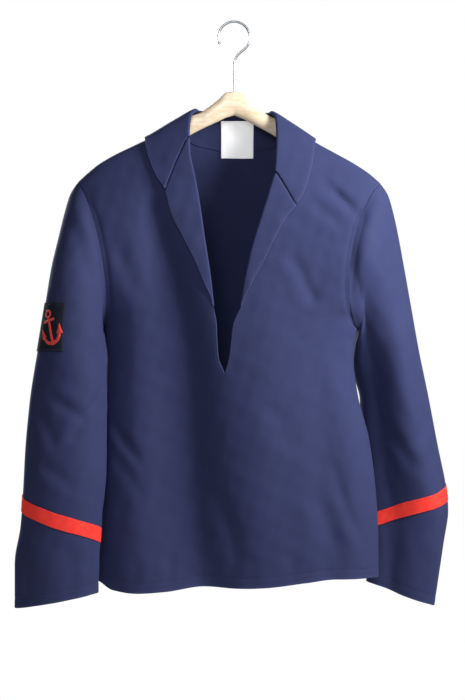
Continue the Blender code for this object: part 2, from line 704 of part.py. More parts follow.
def gorge_step(row, crease):
    """Return the step away from the gorge seam that leaves its gap."""
    run = unit(row[-1] - row[0])
    return unit(crease - (crease @ run) * run) * GORGE_GAP / 2


def lapel(hand):
    """Return the sheet of one turned-out lapel, through the middle of its wall."""
    edges, folds, crease = lapel_folds(hand)
    grid = []
    for edge, (middle, normal, over) in zip(edges, folds):
        grid.append(fold_points(middle, normal, over) + fall_points(middle, edge))
    grid = np.array(grid)
    grid[0] += gorge_step(grid[0], crease[0])
    sheet = Sheet()
    sheet.add(grid)
    sheet.lead(grid[:, 0], [normal for _, normal, _ in folds], either=True)
    return sheet


def collar():
    """Return the sheet of the collar, through the middle of its wall."""
    stations = closer_stations(collar_stations())
    crease = crease_directions([surface(*roll) for _, roll, _ in stations])
    grid = []
    for (seam, roll, edge), direction in zip(stations, crease):
        heading = surface(*edge) - surface(*roll)
        middle, normal, over = turned_edge(roll, heading, direction)
        seam = np.array(seam)
        reach = np.linalg.norm(surface(*seam) - surface(*roll))
        end = max(1 - STAND_SHORT / reach, STAND_LEAST)
        row = [lifted(*(seam + (np.array(roll) - seam) * end * share), -1.0)
               for share in STAND_SHARES]
        grid.append(row + fold_points(middle, normal, over) + fall_points(middle, edge))
    grid = np.array(grid)
    grid[0] += gorge_step(grid[0], crease[0])
    grid[-1] += gorge_step(grid[-1], -crease[-1])
    sheet = Sheet()
    sheet.add(grid)
    return sheet


def cuff_tape(hand):
    """Return the sheet of one slanting tape, through the middle of its wall."""
    stops = TAPES[hand]
    step = 180 / ARM_STEPS
    degrees = np.arange(stops[0].degrees, stops[-1].degrees + step / 2, step)
    middle = smooth(degrees, column(stops, "degrees"), column(stops, "z"))
    lift = TAPE_GAP + TRIM / 2
    rows = [on_sleeve(hand, degrees, middle + TAPE_WIDTH * share, lift) for share in (0.5, 0, -0.5)]
    sheet = Sheet()
    sheet.add(np.array(rows))
    return sheet


def badge_patch():
    """Return the sheet of the patch on the wearer's right sleeve."""
    degrees = np.linspace(*PATCH_DEGREES, PATCH_COLUMNS)
    lift = REST_GAP + TRIM / 2
    rows = [on_sleeve(RIGHT, degrees, z, lift) for z in np.linspace(*PATCH_HEIGHT, PATCH_ROWS)]
    sheet = Sheet()
    sheet.add(np.array(rows))
    return sheet


def arc(radius, centre_y, start, end, count):
    """Return points on an arc about (0, centre_y); angles in degrees from +x."""
    turns = np.radians(np.linspace(start, end, count))
    return [(radius * math.cos(t), centre_y + radius * math.sin(t)) for t in turns]


def anchor_half():
    """Return the right half of the anchor's outline, from its foot up to its ring's top."""
    arms = arc(22.5, -3.8, -90, -28, 8)
    fluke = [(25.0, -11.9), (21.9, 1.9), (11.0, -8.8)]
    inside = arc(16.8, -3.8, -38, -83, 6)
    shank = [(2.2, 8.8), (10.6, 8.8), (10.6, 12.8), (2.2, 12.8)]
    ring = arc(6.5, RING_HEIGHT, -70, 90, 9)
    return arms + fluke + inside + shank + ring


def short_steps(loop, longest):
    """Return a closed outline with its long edges divided."""
    points = []
    for start, end in zip(loop, loop[1:] + loop[:1]):
        parts = max(1, math.ceil(math.dist(start, end) / longest))
        for i in range(parts):
            points.append((start[0] + (end[0] - start[0]) * i / parts,
                           start[1] + (end[1] - start[1]) * i / parts))
    return points


def badge_anchor():
    """Return points and faces of the raised anchor, bent round the sleeve."""
    half = anchor_half()
    outline = half + [(-x, y) for x, y in half[-2:0:-1]]
    outline = short_steps(outline, ANCHOR_STEP)
    hole = arc(3.2, RING_HEIGHT, 360, 36, 10)
    flat = [Vector(point) for point in outline + hole]
    rims = [list(range(len(outline))), list(range(len(outline), len(flat)))]
    verts, _, faces, _, _, _ = delaunay_2d_cdt(flat, [], rims, 4, 1e-5)
    cos, sin = math.cos(ANCHOR_LEAN), math.sin(ANCHOR_LEAN)
    degrees = [ANCHOR_CENTRE[0] + math.degrees((v.x * cos - v.y * sin) / PATCH_RADIUS)
               for v in verts]
    heights = [ANCHOR_CENTRE[1] + v.x * sin + v.y * cos for v in verts]
    lift = REST_GAP + TRIM + SEAM_GAP
    sheet = Sheet()
    low = on_sleeve(RIGHT, degrees, heights, lift)
    high = on_sleeve(RIGHT, degrees, heights, lift + MOTIF)
    sheet.points = list(low)
    sheet.faces = [list(face) for face in faces]
    sheet.leads = dict(enumerate(unit(high - low)))
    return sheet


def neck_label():
    """Return the sheet of the bare label inside the back neck."""
    lift = -(FOLDED_CLOTH + LABEL_GAP + TRIM / 2)
    x = np.linspace(*LABEL_X, 6)
    rows = [lifted(x, root_at(x, z, BACK), np.full(x.shape, lift))
            for z in np.linspace(*LABEL_Z, 8)]
    sheet = Sheet()
    sheet.add(np.array(rows))
    return sheet


def hanger_bar():
    """Return points and faces of the shaped wooden bar."""
    stops = np.array([stop.x for stop in BAR], float)
    half = np.unique(np.concatenate([stops, (stops[1:] + stops[:-1]) / 2]))
    stations = np.concatenate([-half[:0:-1], half])
    turns = np.radians(np.arange(0, 360, 30))
    points = []
    for x in stations:
        top = float(smooth(abs(x), column(BAR, "x"), column(BAR, "top"))) - x * TILT
        foot = float(smooth(abs(x), column(BAR, "x"), column(BAR, "foot"))) - x * TILT
        thick = float(smooth(abs(x), column(BAR, "x"), column(BAR, "thick")))
        for turn in turns:
            wide = math.copysign(abs(math.cos(turn)) ** (2 / BAR_ROUND), math.cos(turn))
            tall = math.copysign(abs(math.sin(turn)) ** (2 / BAR_ROUND), math.sin(turn))
            points.append((x, wide * thick / 2, (top + foot) / 2 + tall * (top - foot) / 2))
    count = len(turns)
    faces = []
    for i in range(len(stations) - 1):
        for j in range(count):
            k = (j + 1) % count
            faces.append([i * count + j, i * count + k, (i + 1) * count + k, (i + 1) * count + j])
    faces.append(list(range(count)))
    faces.append(list(range(len(points) - count, len(points))))
    return np.array(points), faces


def hanger_hook(parent):
    """Make the wire hook as a bevelled curve; its inside top is the origin."""
    radius = HOOK_RADIUS + WIRE / 2
    stem = [(0, STEM_FOOT), (0, -95), (0, -84), (0, -73), (0, -64), (1.6, -55.5), (6.2, -48)]
    bend = arc(radius, -HOOK_RADIUS, -58, 205, 20)
    curve = bpy.data.curves.new("hanger_hook", "CURVE")
    curve.dimensions = "3D"
    curve.bevel_depth = WIRE / 2 * MM
    curve.bevel_resolution = 2
    curve.use_fill_caps = True
    spline = curve.splines.new("POLY")
    route = stem + bend
    spline.points.add(len(route) - 1)
    for point, (x, z) in zip(spline.points, route):
        point.co = (x * MM, 0, z * MM, 1)
    thing = bpy.data.objects.new("hanger_hook", curve)
    finish(thing, "hanger_hook", STEEL, parent)


def build():
    """Remove what is there and make the smock and its hanger."""
    for old in list(bpy.data.objects):
        bpy.data.objects.remove(old)
    rail_point = bpy.data.objects.new("rail_point", None)
    bpy.context.scene.collection.objects.link(rail_point)
    half_fold = FOLDED_CLOTH / 2
    half_trim = TRIM / 2
    walls = (
        ("front", panel(FRONT), 0, CLOTH, NAVY),
        ("back", panel(BACK), 0, CLOTH, NAVY),
        ("sleeve_right", sleeve(RIGHT), 0, CLOTH, NAVY),
        ("sleeve_left", sleeve(LEFT), 0, CLOTH, NAVY),
        ("collar", collar(), half_fold, half_fold, NAVY),
        ("lapel_right", lapel(RIGHT), half_fold, half_fold, NAVY),
        ("lapel_left", lapel(LEFT), half_fold, half_fold, NAVY),
        ("cuff_tape_right", cuff_tape(RIGHT), half_trim, half_trim, SIGNAL_RED),
        ("cuff_tape_left", cuff_tape(LEFT), half_trim, half_trim, SIGNAL_RED),
        ("badge_patch", badge_patch(), half_trim, half_trim, PATCH_BLUE),
        ("badge_anchor", badge_anchor(), MOTIF, 0, SIGNAL_RED),
        ("neck_label", neck_label(), half_trim, half_trim, WHITE_TAPE))
    for name, sheet, out, inward, shade in walls:
        points, faces = sheet.solid(out, inward)
        add_object(name, points, faces, shade, rail_point)
    points, faces = hanger_bar()
    add_object("hanger_bar", points, faces, PALE_WOOD, rail_point)
    hanger_hook(rail_point)


build()
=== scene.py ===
"""Looks of a navy sailor smock on its hanger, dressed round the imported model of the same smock.

Lengths are millimetres and angles degrees, unless a name says otherwise, and every mesh is made in
metres. +Z is up, the front faces -Y and the wearer's right hand is at -X. The smock's outer face is
one smooth form: a place on it is x and the signed root of how far it drops below the shoulder ridge,
negative on the front. Panels, collar and trims are laid on that form, and the sleeves on their rings.
"""
import functools
import logging
import math
from dataclasses import dataclass, field
from enum import Enum
from typing import Any, Callable, Iterable, Sequence

import bmesh
import bpy
import numpy as np
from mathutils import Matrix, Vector


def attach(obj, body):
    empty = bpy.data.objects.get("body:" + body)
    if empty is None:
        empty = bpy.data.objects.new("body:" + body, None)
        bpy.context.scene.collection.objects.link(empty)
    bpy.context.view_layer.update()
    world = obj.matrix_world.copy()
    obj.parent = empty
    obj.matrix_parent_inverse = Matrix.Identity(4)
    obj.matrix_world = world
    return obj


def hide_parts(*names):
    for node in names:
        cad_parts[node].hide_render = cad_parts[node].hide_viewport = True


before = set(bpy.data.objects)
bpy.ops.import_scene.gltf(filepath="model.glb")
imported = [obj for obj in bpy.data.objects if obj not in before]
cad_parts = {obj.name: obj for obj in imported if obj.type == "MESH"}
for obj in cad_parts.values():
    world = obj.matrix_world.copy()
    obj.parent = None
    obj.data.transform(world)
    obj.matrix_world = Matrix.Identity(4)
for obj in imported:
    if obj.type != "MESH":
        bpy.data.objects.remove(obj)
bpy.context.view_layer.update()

MM = 0.001
# The wave texture's bands in one unit at a scale of one
WAVES_PER_UNIT = 3.18
# Points this close to a border, in millimetres, lie on it
ON_BORDER = 0.01
# Rows this far from a turned hem's edge, in millimetres, draw its fold and its stitched groove
HEM_ROWS = (0.0, 0.5, 1.4, 12.0, 13.2, 14.0, 14.8, 16.0)
# Rows this far from a seam, in millimetres, draw its rolled edge
SEAM_ROWS = (0.45, 1.0, 1.8)
LOG = logging.getLogger("smock")
Array = np.ndarray
Tree = bpy.types.NodeTree
Socket = bpy.types.NodeSocket
Node = bpy.types.Node
Mesh = bpy.types.Mesh
Thing = bpy.types.Object
Material = bpy.types.Material


class Hand(Enum):
    """The wearer's hands, as signs of x."""

    RIGHT = -1
    LEFT = 1

    def node(self, stem: str) -> str:
        """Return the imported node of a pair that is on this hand."""
        return f"{stem}_{self.name.lower()}"


class Side(Enum):
    """The smock's two faces, as signs of y."""

    FRONT = -1
    BACK = 1


class Border(Enum):
    """The borders of a grid of points."""

    TOP = "first row"
    FOOT = "last row"
    OUTER = "first column"
    INNER = "last column"


def smooth(at: Any, knots: Any, values: Any) -> Array:
    """Run the smooth curve through the knots that never overshoots.

    Args:
        at: where to read the curve; beyond the knots it runs on straight.
        knots: the places where the values hold, rising or falling.
        values: one number or one array for each knot.

    Returns:
        The values at those places.
    """
    knots = np.asarray(knots, float)
    values = np.asarray(values, float)
    if knots[0] > knots[-1]:
        knots = knots[::-1]
        values = values[::-1]
    slopes = knot_slopes(knots, values)
    at = np.asarray(at, float)
    held = np.clip(at, knots[0], knots[-1])
    i = np.clip(np.searchsorted(knots, held, side="right") - 1, 0, len(knots) - 2)
    spread = at.shape + (1,) * (values.ndim - 1)
    span = (knots[i + 1] - knots[i]).reshape(spread)
    t = (held - knots[i]).reshape(spread) / span
    past = (at - held).reshape(spread)
    end_slope = np.where(past > 0, slopes[-1], slopes[0])
    return hermite(t, span, values[i], values[i + 1], slopes[i], slopes[i + 1]) + past * end_slope


def knot_slopes(knots: Array, values: Array) -> Array:
    """Find the slopes at the knots that keep a curve from overshooting.

    Args:
        knots: rising places.
        values: one number or array for each.

    Returns:
        The slope at each knot.
    """
    spans = np.diff(knots)
    grades = (np.diff(values, axis=0).T / spans).T
    slopes = np.zeros_like(values)
    slopes[0] = grades[0]
    slopes[-1] = grades[-1]
    for i in range(1, len(knots) - 1):
        before = 2 * spans[i] + spans[i - 1]
        after = spans[i] + 2 * spans[i - 1]
        alike = grades[i - 1] * grades[i] > 0
        low = np.where(alike, grades[i - 1], 1.0)
        high = np.where(alike, grades[i], 1.0)
        slopes[i] = np.where(alike, (before + after) / (before / low + after / high), 0.0)
    return slopes


def hermite(t: Array, span: Array, start: Array, end: Array, leave: Array, arrive: Array) -> Array:
    """Blend two knots by their values and slopes."""
    return ((2 * t**3 - 3 * t**2 + 1) * start + (t**3 - 2 * t**2 + t) * span * leave
            + (3 * t**2 - 2 * t**3) * end + (t**3 - t**2) * span * arrive)


def smooth_each(at: Array, values: Array) -> Array:
    """Read many smooth curves at once, each at a place of its own.

    Args:
        at: one place for each curve, counted in knots.
        values: knots by curves by coordinates.

    Returns:
        One point for each curve.
    """
    slopes = knot_slopes(np.arange(len(values), dtype=float), values)
    i = np.clip(np.floor(at).astype(int), 0, len(values) - 2)
    each = np.arange(values.shape[1])
    t = (at - i)[:, None]
    return hermite(t, np.ones_like(t), values[i, each], values[i + 1, each],
                   slopes[i, each], slopes[i + 1, each])


def ease(share: Any) -> Array:
    """Rise softly from 0 to 1 as the share does."""
    share = np.clip(share, 0, 1)
    return share * share * (3 - 2 * share)


def unit(vectors: Any) -> Array:
    """Return the vectors at length one."""
    vectors = np.asarray(vectors, float)
    return vectors / np.maximum(np.linalg.norm(vectors, axis=-1, keepdims=True), 1e-12)


def table(kind: Callable[..., Any], *rows: Sequence[Any]) -> tuple[Any, ...]:
    """Return one object of a kind for each row of its values."""
    return tuple(kind(*row) for row in rows)


def column(rows: Sequence[Any], name: str) -> Array:
    """Return one named column of a table."""
    return np.array([getattr(row, name) for row in rows], float)


def along(path: Any, shares: Array) -> Array:
    """Return the points at these shares of a path's length.

    Args:
        path: the points of a path.
        shares: from 0 at its start to 1 at its end.

    Returns:
        A point for each share.
    """
    path = np.asarray(path, float)
    run = np.concatenate(([0.0], np.cumsum(np.linalg.norm(np.diff(path, axis=0), axis=1))))
    return smooth(np.asarray(shares) * run[-1], run, path)


def root(drop: Any) -> Array:
    """Return the signed root of a drop."""
    drop = np.asarray(drop, float)
    return np.sign(drop) * np.sqrt(np.abs(drop))


def arc(radius: float, centre_y: float, start: float, end: float, count: int) -> Array:
    """Return points on an arc about (0, centre_y); angles are from +x."""
    turns = np.radians(np.linspace(start, end, count))
    return np.stack([radius * np.cos(turns), centre_y + radius * np.sin(turns)], axis=-1)


@dataclass(frozen=True)
class RidgeStop:
    """The shoulder ridge's height at a distance from the middle."""

    x: float
    z: float


@dataclass(frozen=True)
class Girth:
    """Half widths of the body towards each hand at a height."""

    z: float
    right: float
    left: float


@dataclass(frozen=True)
class Depth:
    """How far the front and the back stand out at a drop below the ridge."""

    drop: float
    front: float
    back: float


@dataclass(frozen=True)
class FoldStop:
    """A place on a fold's line: reach before and past the line, and how far the line is raised.

    Across is x on the body and degrees on a sleeve.
    """

    across: float
    z: float
    before: float
    past: float
    rise: float


@dataclass(frozen=True)
class Fold:
    """A long hanging fold; the lower its power, the sharper its line."""

    stops: tuple[FoldStop, ...]
    power: float = 2.0

    def relief(self, across: Array, up: Array) -> Array:
        """Return how far the fold raises the cloth.

        Args:
            across: places across the cloth.
            up: heights of the same places.

        Returns:
            The rise, negative in a trough.
        """
        heights = column(self.stops, "z")
        held = np.clip(up, heights[-1], heights[0])
        line, before, past, rise = (smooth(held, heights, column(self.stops, name))
                                    for name in ("across", "before", "past", "rise"))
        aside = across - line
        reach = np.where(aside < 0, before, past)
        return rise * np.exp(-np.abs(aside / reach) ** self.power)


@dataclass(frozen=True)
class Crease:
    """A soft trough with a low swell beside it; a negative depth makes a ridge.

    On the body, start and end are x and z; on a sleeve they are degrees round it and z.
    """

    start: tuple[float, float]
    end: tuple[float, float]
    width: float
    depth: float
    bow: float = 0.0

    def relief(self, across: Array, up: Array) -> Array:
        """Return how far the crease raises the cloth.

        Args:
            across: places across the cloth.
            up: heights of the same places.

        Returns:
            The rise, negative in the trough.
        """
        run = np.subtract(self.end, self.start)
        length = float(np.hypot(*run))
        ahead_x, ahead_z = run / length
        share = ((across - self.start[0]) * ahead_x + (up - self.start[1]) * ahead_z) / length
        aside = (across - self.start[0]) * ahead_z - (up - self.start[1]) * ahead_x
        aside = aside - self.bow * 4 * np.clip(share, 0, 1) * (1 - np.clip(share, 0, 1))
        fade = ease((share + 0.15) / 0.45) * ease((1.15 - share) / 0.45)
        trough = np.exp(-(aside / self.width) ** 2)
        swell = np.exp(-((aside - 1.8 * self.width) / (1.2 * self.width)) ** 2)
        return self.depth * fade * (0.4 * swell - trough)


BODY_FOLDS = {
    Side.FRONT: (
        Fold(table(FoldStop, (-123, -235, 14, 14, 0), (-121, -269, 18, 14, -6),
              (-103, -330, 34, 18, -15), (-88, -404, 56, 26, -22), (-76, -470, 76, 32, -27),
              (-70, -540, 96, 37, -31), (-66, -620, 96, 39, -33), (-63, -700, 96, 43, -33),
              (-58, -770, 84, 48, -30), (-44, -860, 60, 52, -22)), 1.7),
        Fold(table(FoldStop, (-150, -300, 20, 28, 0), (-148, -400, 20, 28, 3), (-144, -560, 20, 30, 5),
              (-144, -700, 20, 30, 5), (-146, -800, 20, 28, 4), (-146, -950, 20, 28, 3))),
        Fold(table(FoldStop, (45, -345, 40, 40, 0), (45, -495, 40, 40, 4), (40, -685, 40, 40, 4),
              (20, -950, 40, 40, 4))),
        Fold(table(FoldStop, (130, -485, 22, 22, 0), (132, -635, 22, 22, -5), (142, -755, 22, 22, -5),
              (150, -950, 22, 22, -4))),
        Fold(table(FoldStop, (175, -525, 20, 20, 0), (178, -675, 20, 20, 4), (186, -950, 20, 20, 4))),
        Fold(table(FoldStop, (125, -225, 9, 9, 0), (145, -250, 9, 9, -3), (160, -267, 9, 9, -4),
              (175, -285, 9, 9, -3), (190, -305, 9, 9, 0)))),
    Side.BACK: (
        Fold(table(FoldStop, (-60, -230, 28, 28, 0), (-60, -375, 28, 28, -10),
              (-66, -625, 28, 28, -10), (-72, -950, 28, 28, -10))),
        Fold(table(FoldStop, (95, -260, 26, 26, 0), (95, -400, 26, 26, -11), (100, -640, 26, 26, -11),
              (104, -950, 26, 26, -11))),
        Fold(table(FoldStop, (10, -205, 34, 34, 0), (10, -355, 34, 34, 7), (14, -615, 34, 34, 7),
              (18, -950, 34, 34, 7))),
        Fold(table(FoldStop, (-130, -285, 30, 30, 0), (-130, -435, 30, 30, 6), (-138, -655, 30, 30, 6),
              (-144, -950, 30, 30, 6))))}
SLEEVE_FOLDS = {
    Hand.RIGHT: (
        Fold(table(FoldStop, (150, -300, 26, 26, 0), (150, -400, 26, 26, -4), (150, -700, 26, 26, -4),
              (150, -950, 26, 26, -3))),
        Fold(table(FoldStop, (250, -320, 30, 30, 0), (252, -440, 30, 30, -5), (256, -950, 30, 30, -4)))),
    Hand.LEFT: (
        Fold(table(FoldStop, (80, -290, 20, 24, 0), (76, -370, 20, 24, 6), (72, -560, 20, 24, 9),
              (66, -674, 20, 24, 9), (52, -764, 20, 24, 8), (44, -950, 20, 24, 6))),
        Fold(table(FoldStop, (132, -290, 26, 28, 0), (132, -370, 26, 28, -9), (128, -560, 30, 32, -14),
              (122, -700, 30, 32, -14), (108, -950, 30, 34, -10))),
        Fold(table(FoldStop, (250, -320, 30, 30, 0), (248, -440, 30, 30, -5), (244, -950, 30, 30, -4))))}

FRONT_CREASES = table(
    Crease,
    ((124, -246), (182, -284), 7, 2.2), ((112, -270), (168, -318), 9, 1.8),
    ((-189, -592), (-138, -668), 9, 4.0), ((-182, -640), (-134, -716), 11, 2.6),
    ((150, -664), (194, -782), 10, 3.6, 6), ((118, -700), (160, -806), 14, 2.4),
    ((-30, -700), (8, -828), 13, 3.0, -6), ((84, -350), (124, -430), 10, 2.6),
    ((98, -436), (142, -376), 9, 1.8), ((-176, -330), (-140, -420), 12, 2.4),
    ((150, -480), (176, -570), 12, 2.4), ((-150, -786), (-146, -850), 10, 1.6),
    ((-96, -794), (-92, -850), 8, 1.2), ((28, -798), (24, -846), 9, 1.4),
    ((84, -790), (88, -840), 10, 1.6), ((134, -796), (138, -838), 8, 1.2),
    ((40, -560), (96, -640), 16, 1.8))
BACK_CREASES = table(
    Crease,
    ((-130, -250), (-184, -292), 8, 2.4), ((118, -252), (170, -300), 8, 2.2),
    ((176, -560), (132, -640), 10, 3.4), ((-178, -596), (-128, -690), 11, 3.2),
    ((-150, -700), (-112, -800), 14, 2.6), ((60, -420), (42, -620), 20, 2.4),
    ((-40, -330), (-58, -520), 18, 2.2), ((30, -690), (58, -828), 13, 3.6, 8),
    ((128, -730), (150, -830), 12, 2.4), ((-20, -780), (-16, -846), 9, 1.5),
    ((-90, -786), (-94, -846), 9, 1.4), ((96, -790), (92, -840), 10, 1.4))
SLEEVE_CREASES = {
    Hand.RIGHT: table(
        Crease,
        ((158, -548), (96, -636), 9, 3.0, 5), ((122, -600), (62, -560), 9, 2.2),
        ((30, -560), (84, -640), 10, 2.4), ((60, -660), (110, -700), 10, 1.6),
        ((44, -800), (50, -870), 12, 1.8), ((110, -780), (116, -862), 14, 2.2),
        ((100, -300), (150, -360), 9, 2.4), ((60, -282), (108, -330), 9, 2.0),
        ((210, -560), (270, -640), 10, 3.0), ((300, -600), (250, -690), 11, 2.4),
        ((290, -800), (286, -868), 13, 2.0)),
    Hand.LEFT: table(
        Crease,
        ((70, -286), (140, -330), 9, 3.0), ((60, -310), (120, -380), 10, 2.6),
        ((40, -420), (96, -480), 12, 1.8), ((30, -590), (90, -650), 11, 2.4),
        ((120, -600), (70, -680), 10, 2.0), ((60, -800), (54, -872), 12, 2.2),
        ((110, -790), (118, -866), 13, 2.0), ((300, -420), (236, -500), 12, 2.6),
        ((220, -620), (286, -700), 11, 3.0), ((300, -790), (296, -868), 12, 1.8))}


@dataclass(frozen=True)
class SmockForm:
    """The smooth outer face of the smock's body."""

    tilt: float = math.tan(math.radians(2.0))
    body_round: float = 2.4
    crease_fade: float = 45.0
    ridge: tuple[RidgeStop, ...] = table(
        RidgeStop,
        (0, -123.0), (30, -126.8), (60, -136.3), (82, -149.6), (100, -161.0), (125, -177.3),
        (151, -190.8), (180, -205.8), (204, -220.8), (222, -236.0), (238, -251.5), (300, -320.0))
    girths: tuple[Girth, ...] = table(
        Girth,
        (-870, 211.0, 218.0), (-779, 208.0, 218.0), (-719, 205.0, 215.0), (-629, 201.0, 204.0),
        (-562, 195.0, 187.0), (-510, 193.0, 180.5), (-480, 195.0, 182.0), (-468, 197.0, 185.5),
        (-462, 197.0, 187.0), (-447, 203.0, 193.0), (-430, 226.0, 216.0), (-408, 268.0, 256.0),
        (-354, 415.0, 400.0), (-240, 700.0, 700.0))
    depths: tuple[Depth, ...] = table(
        Depth,
        (0, 0.0, 0.0), (5, 10.5, 10.0), (10, 14.0, 13.0), (30, 24.0, 21.0), (60, 36.0, 31.5),
        (110, 49.0, 43.0), (200, 60.0, 53.0), (300, 66.0, 58.0), (500, 71.0, 62.0), (760, 74.0, 64.0))

    def ridge_height(self, x: Any) -> Array:
        """Return the shoulder ridge's height at x."""
        level = smooth(np.abs(x), column(self.ridge, "x"), column(self.ridge, "z"))
        return level - np.asarray(x) * self.tilt

    def half_width(self, x: Any, z: Any) -> Array:
        """Return how far out the body's side is at height z, on the side that x is on.

        Args:
            x: places across; only their signs count.
            z: heights.

        Returns:
            The half widths.
        """
        heights = column(self.girths, "z")
        right = smooth(z, heights, column(self.girths, "right"))
        left = smooth(z, heights, column(self.girths, "left"))
        return np.where(np.asarray(x) > 0, left, right)

    def relief(self, x: Array, z: Array, drop: Array, side: Side) -> Array:
        """Add up the folds and creases of one side.

        Args:
            x: places across.
            z: heights.
            drop: how far the places are below the ridge.
            side: the front or the back.

        Returns:
            How far the cloth is raised there.
        """
        total = np.zeros_like(x)
        for fold in BODY_FOLDS[side]:
            total = total + fold.relief(x, z)
        creases = FRONT_CREASES if side is Side.FRONT else BACK_CREASES
        fine = sum(crease.relief(x, z) for crease in creases) + unevenness(x, z)
        return total + fine * ease(drop / self.crease_fade)

    def point(self, x: Any, s: Any) -> Array:
        """Return points of the outer face at x and the signed root s of the drop.

        Args:
            x: places across.
            s: signed roots of the drops.

        Returns:
            The points.
        """
        x, s = np.broadcast_arrays(np.asarray(x, float), np.asarray(s, float))
        drop = s * s
        z = self.ridge_height(x) - drop
        reach = np.clip(np.abs(x) / self.half_width(x, z), 0, 1)
        roundness = (1 - reach**self.body_round) ** (1 / self.body_round)
        knots = np.sqrt(column(self.depths, "drop"))
        front = smooth(np.abs(s), knots, column(self.depths, "front"))
        front = front + self.relief(x, z, drop, Side.FRONT)
        back = smooth(np.abs(s), knots, column(self.depths, "back"))
        back = back + self.relief(x, z, drop, Side.BACK)
        y = np.where(s < 0, -front, back) * roundness * np.where(s == 0, 0, 1)
        return np.stack([x, y, z], axis=-1)

    def normal(self, x: Any, s: Any) -> Array:
        """Return the outward unit normals there.

        Args:
            x: places across.
            s: signed roots of the drops.

        Returns:
            The normals.
        """
        across = self.point(x + 0.5, s) - self.point(x - 0.5, s)
        down = self.point(x, s + 0.05) - self.point(x, s - 0.05)
        return unit(np.cross(across, down))

    def lifted(self, x: Any, s: Any, lift: Any) -> Array:
        """Return points that stand off the outer face."""
        return self.point(x, s) + self.normal(x, s) * np.asarray(lift, float)[..., None]

    def root_at(self, x: Any, z: Any, side: Side) -> Array:
        """Return the signed root of the drop at height z on one side."""
        return side.value * np.sqrt(np.maximum(self.ridge_height(x) - z, 0))

    def on_side(self, x: Any, z: Any, side: Side) -> Array:
        """Return points of the outer face at x, z on one side."""
        return self.point(x, self.root_at(x, z, side))


def unevenness(across: Array, up: Array) -> Array:
    """Return the slight waviness that soft wool keeps all over, about half a millimetre.

    Args:
        across: places across the cloth.
        up: heights of the same places.

    Returns:
        The rise at each place.
    """
    waves = ((0.14, 61.0, 17.0, 0.4), (0.12, -23.0, 47.0, 1.9), (0.10, 37.0, -31.0, 3.1),
             (0.10, 90.0, 29.0, 5.0), (0.05, -19.0, -27.0, 0.8))
    return sum(rise * np.sin(math.tau * (across / wave_x + up / wave_z * 0.5) + phase)
               for rise, wave_x, wave_z, phase in waves)


@dataclass(frozen=True)
class Ring:
    """A sleeve's ring, from its outer edge to its inner edge; depth is half its thickness."""

    out_x: float
    out_z: float
    in_x: float
    in_z: float
    mid_y: float
    depth: float


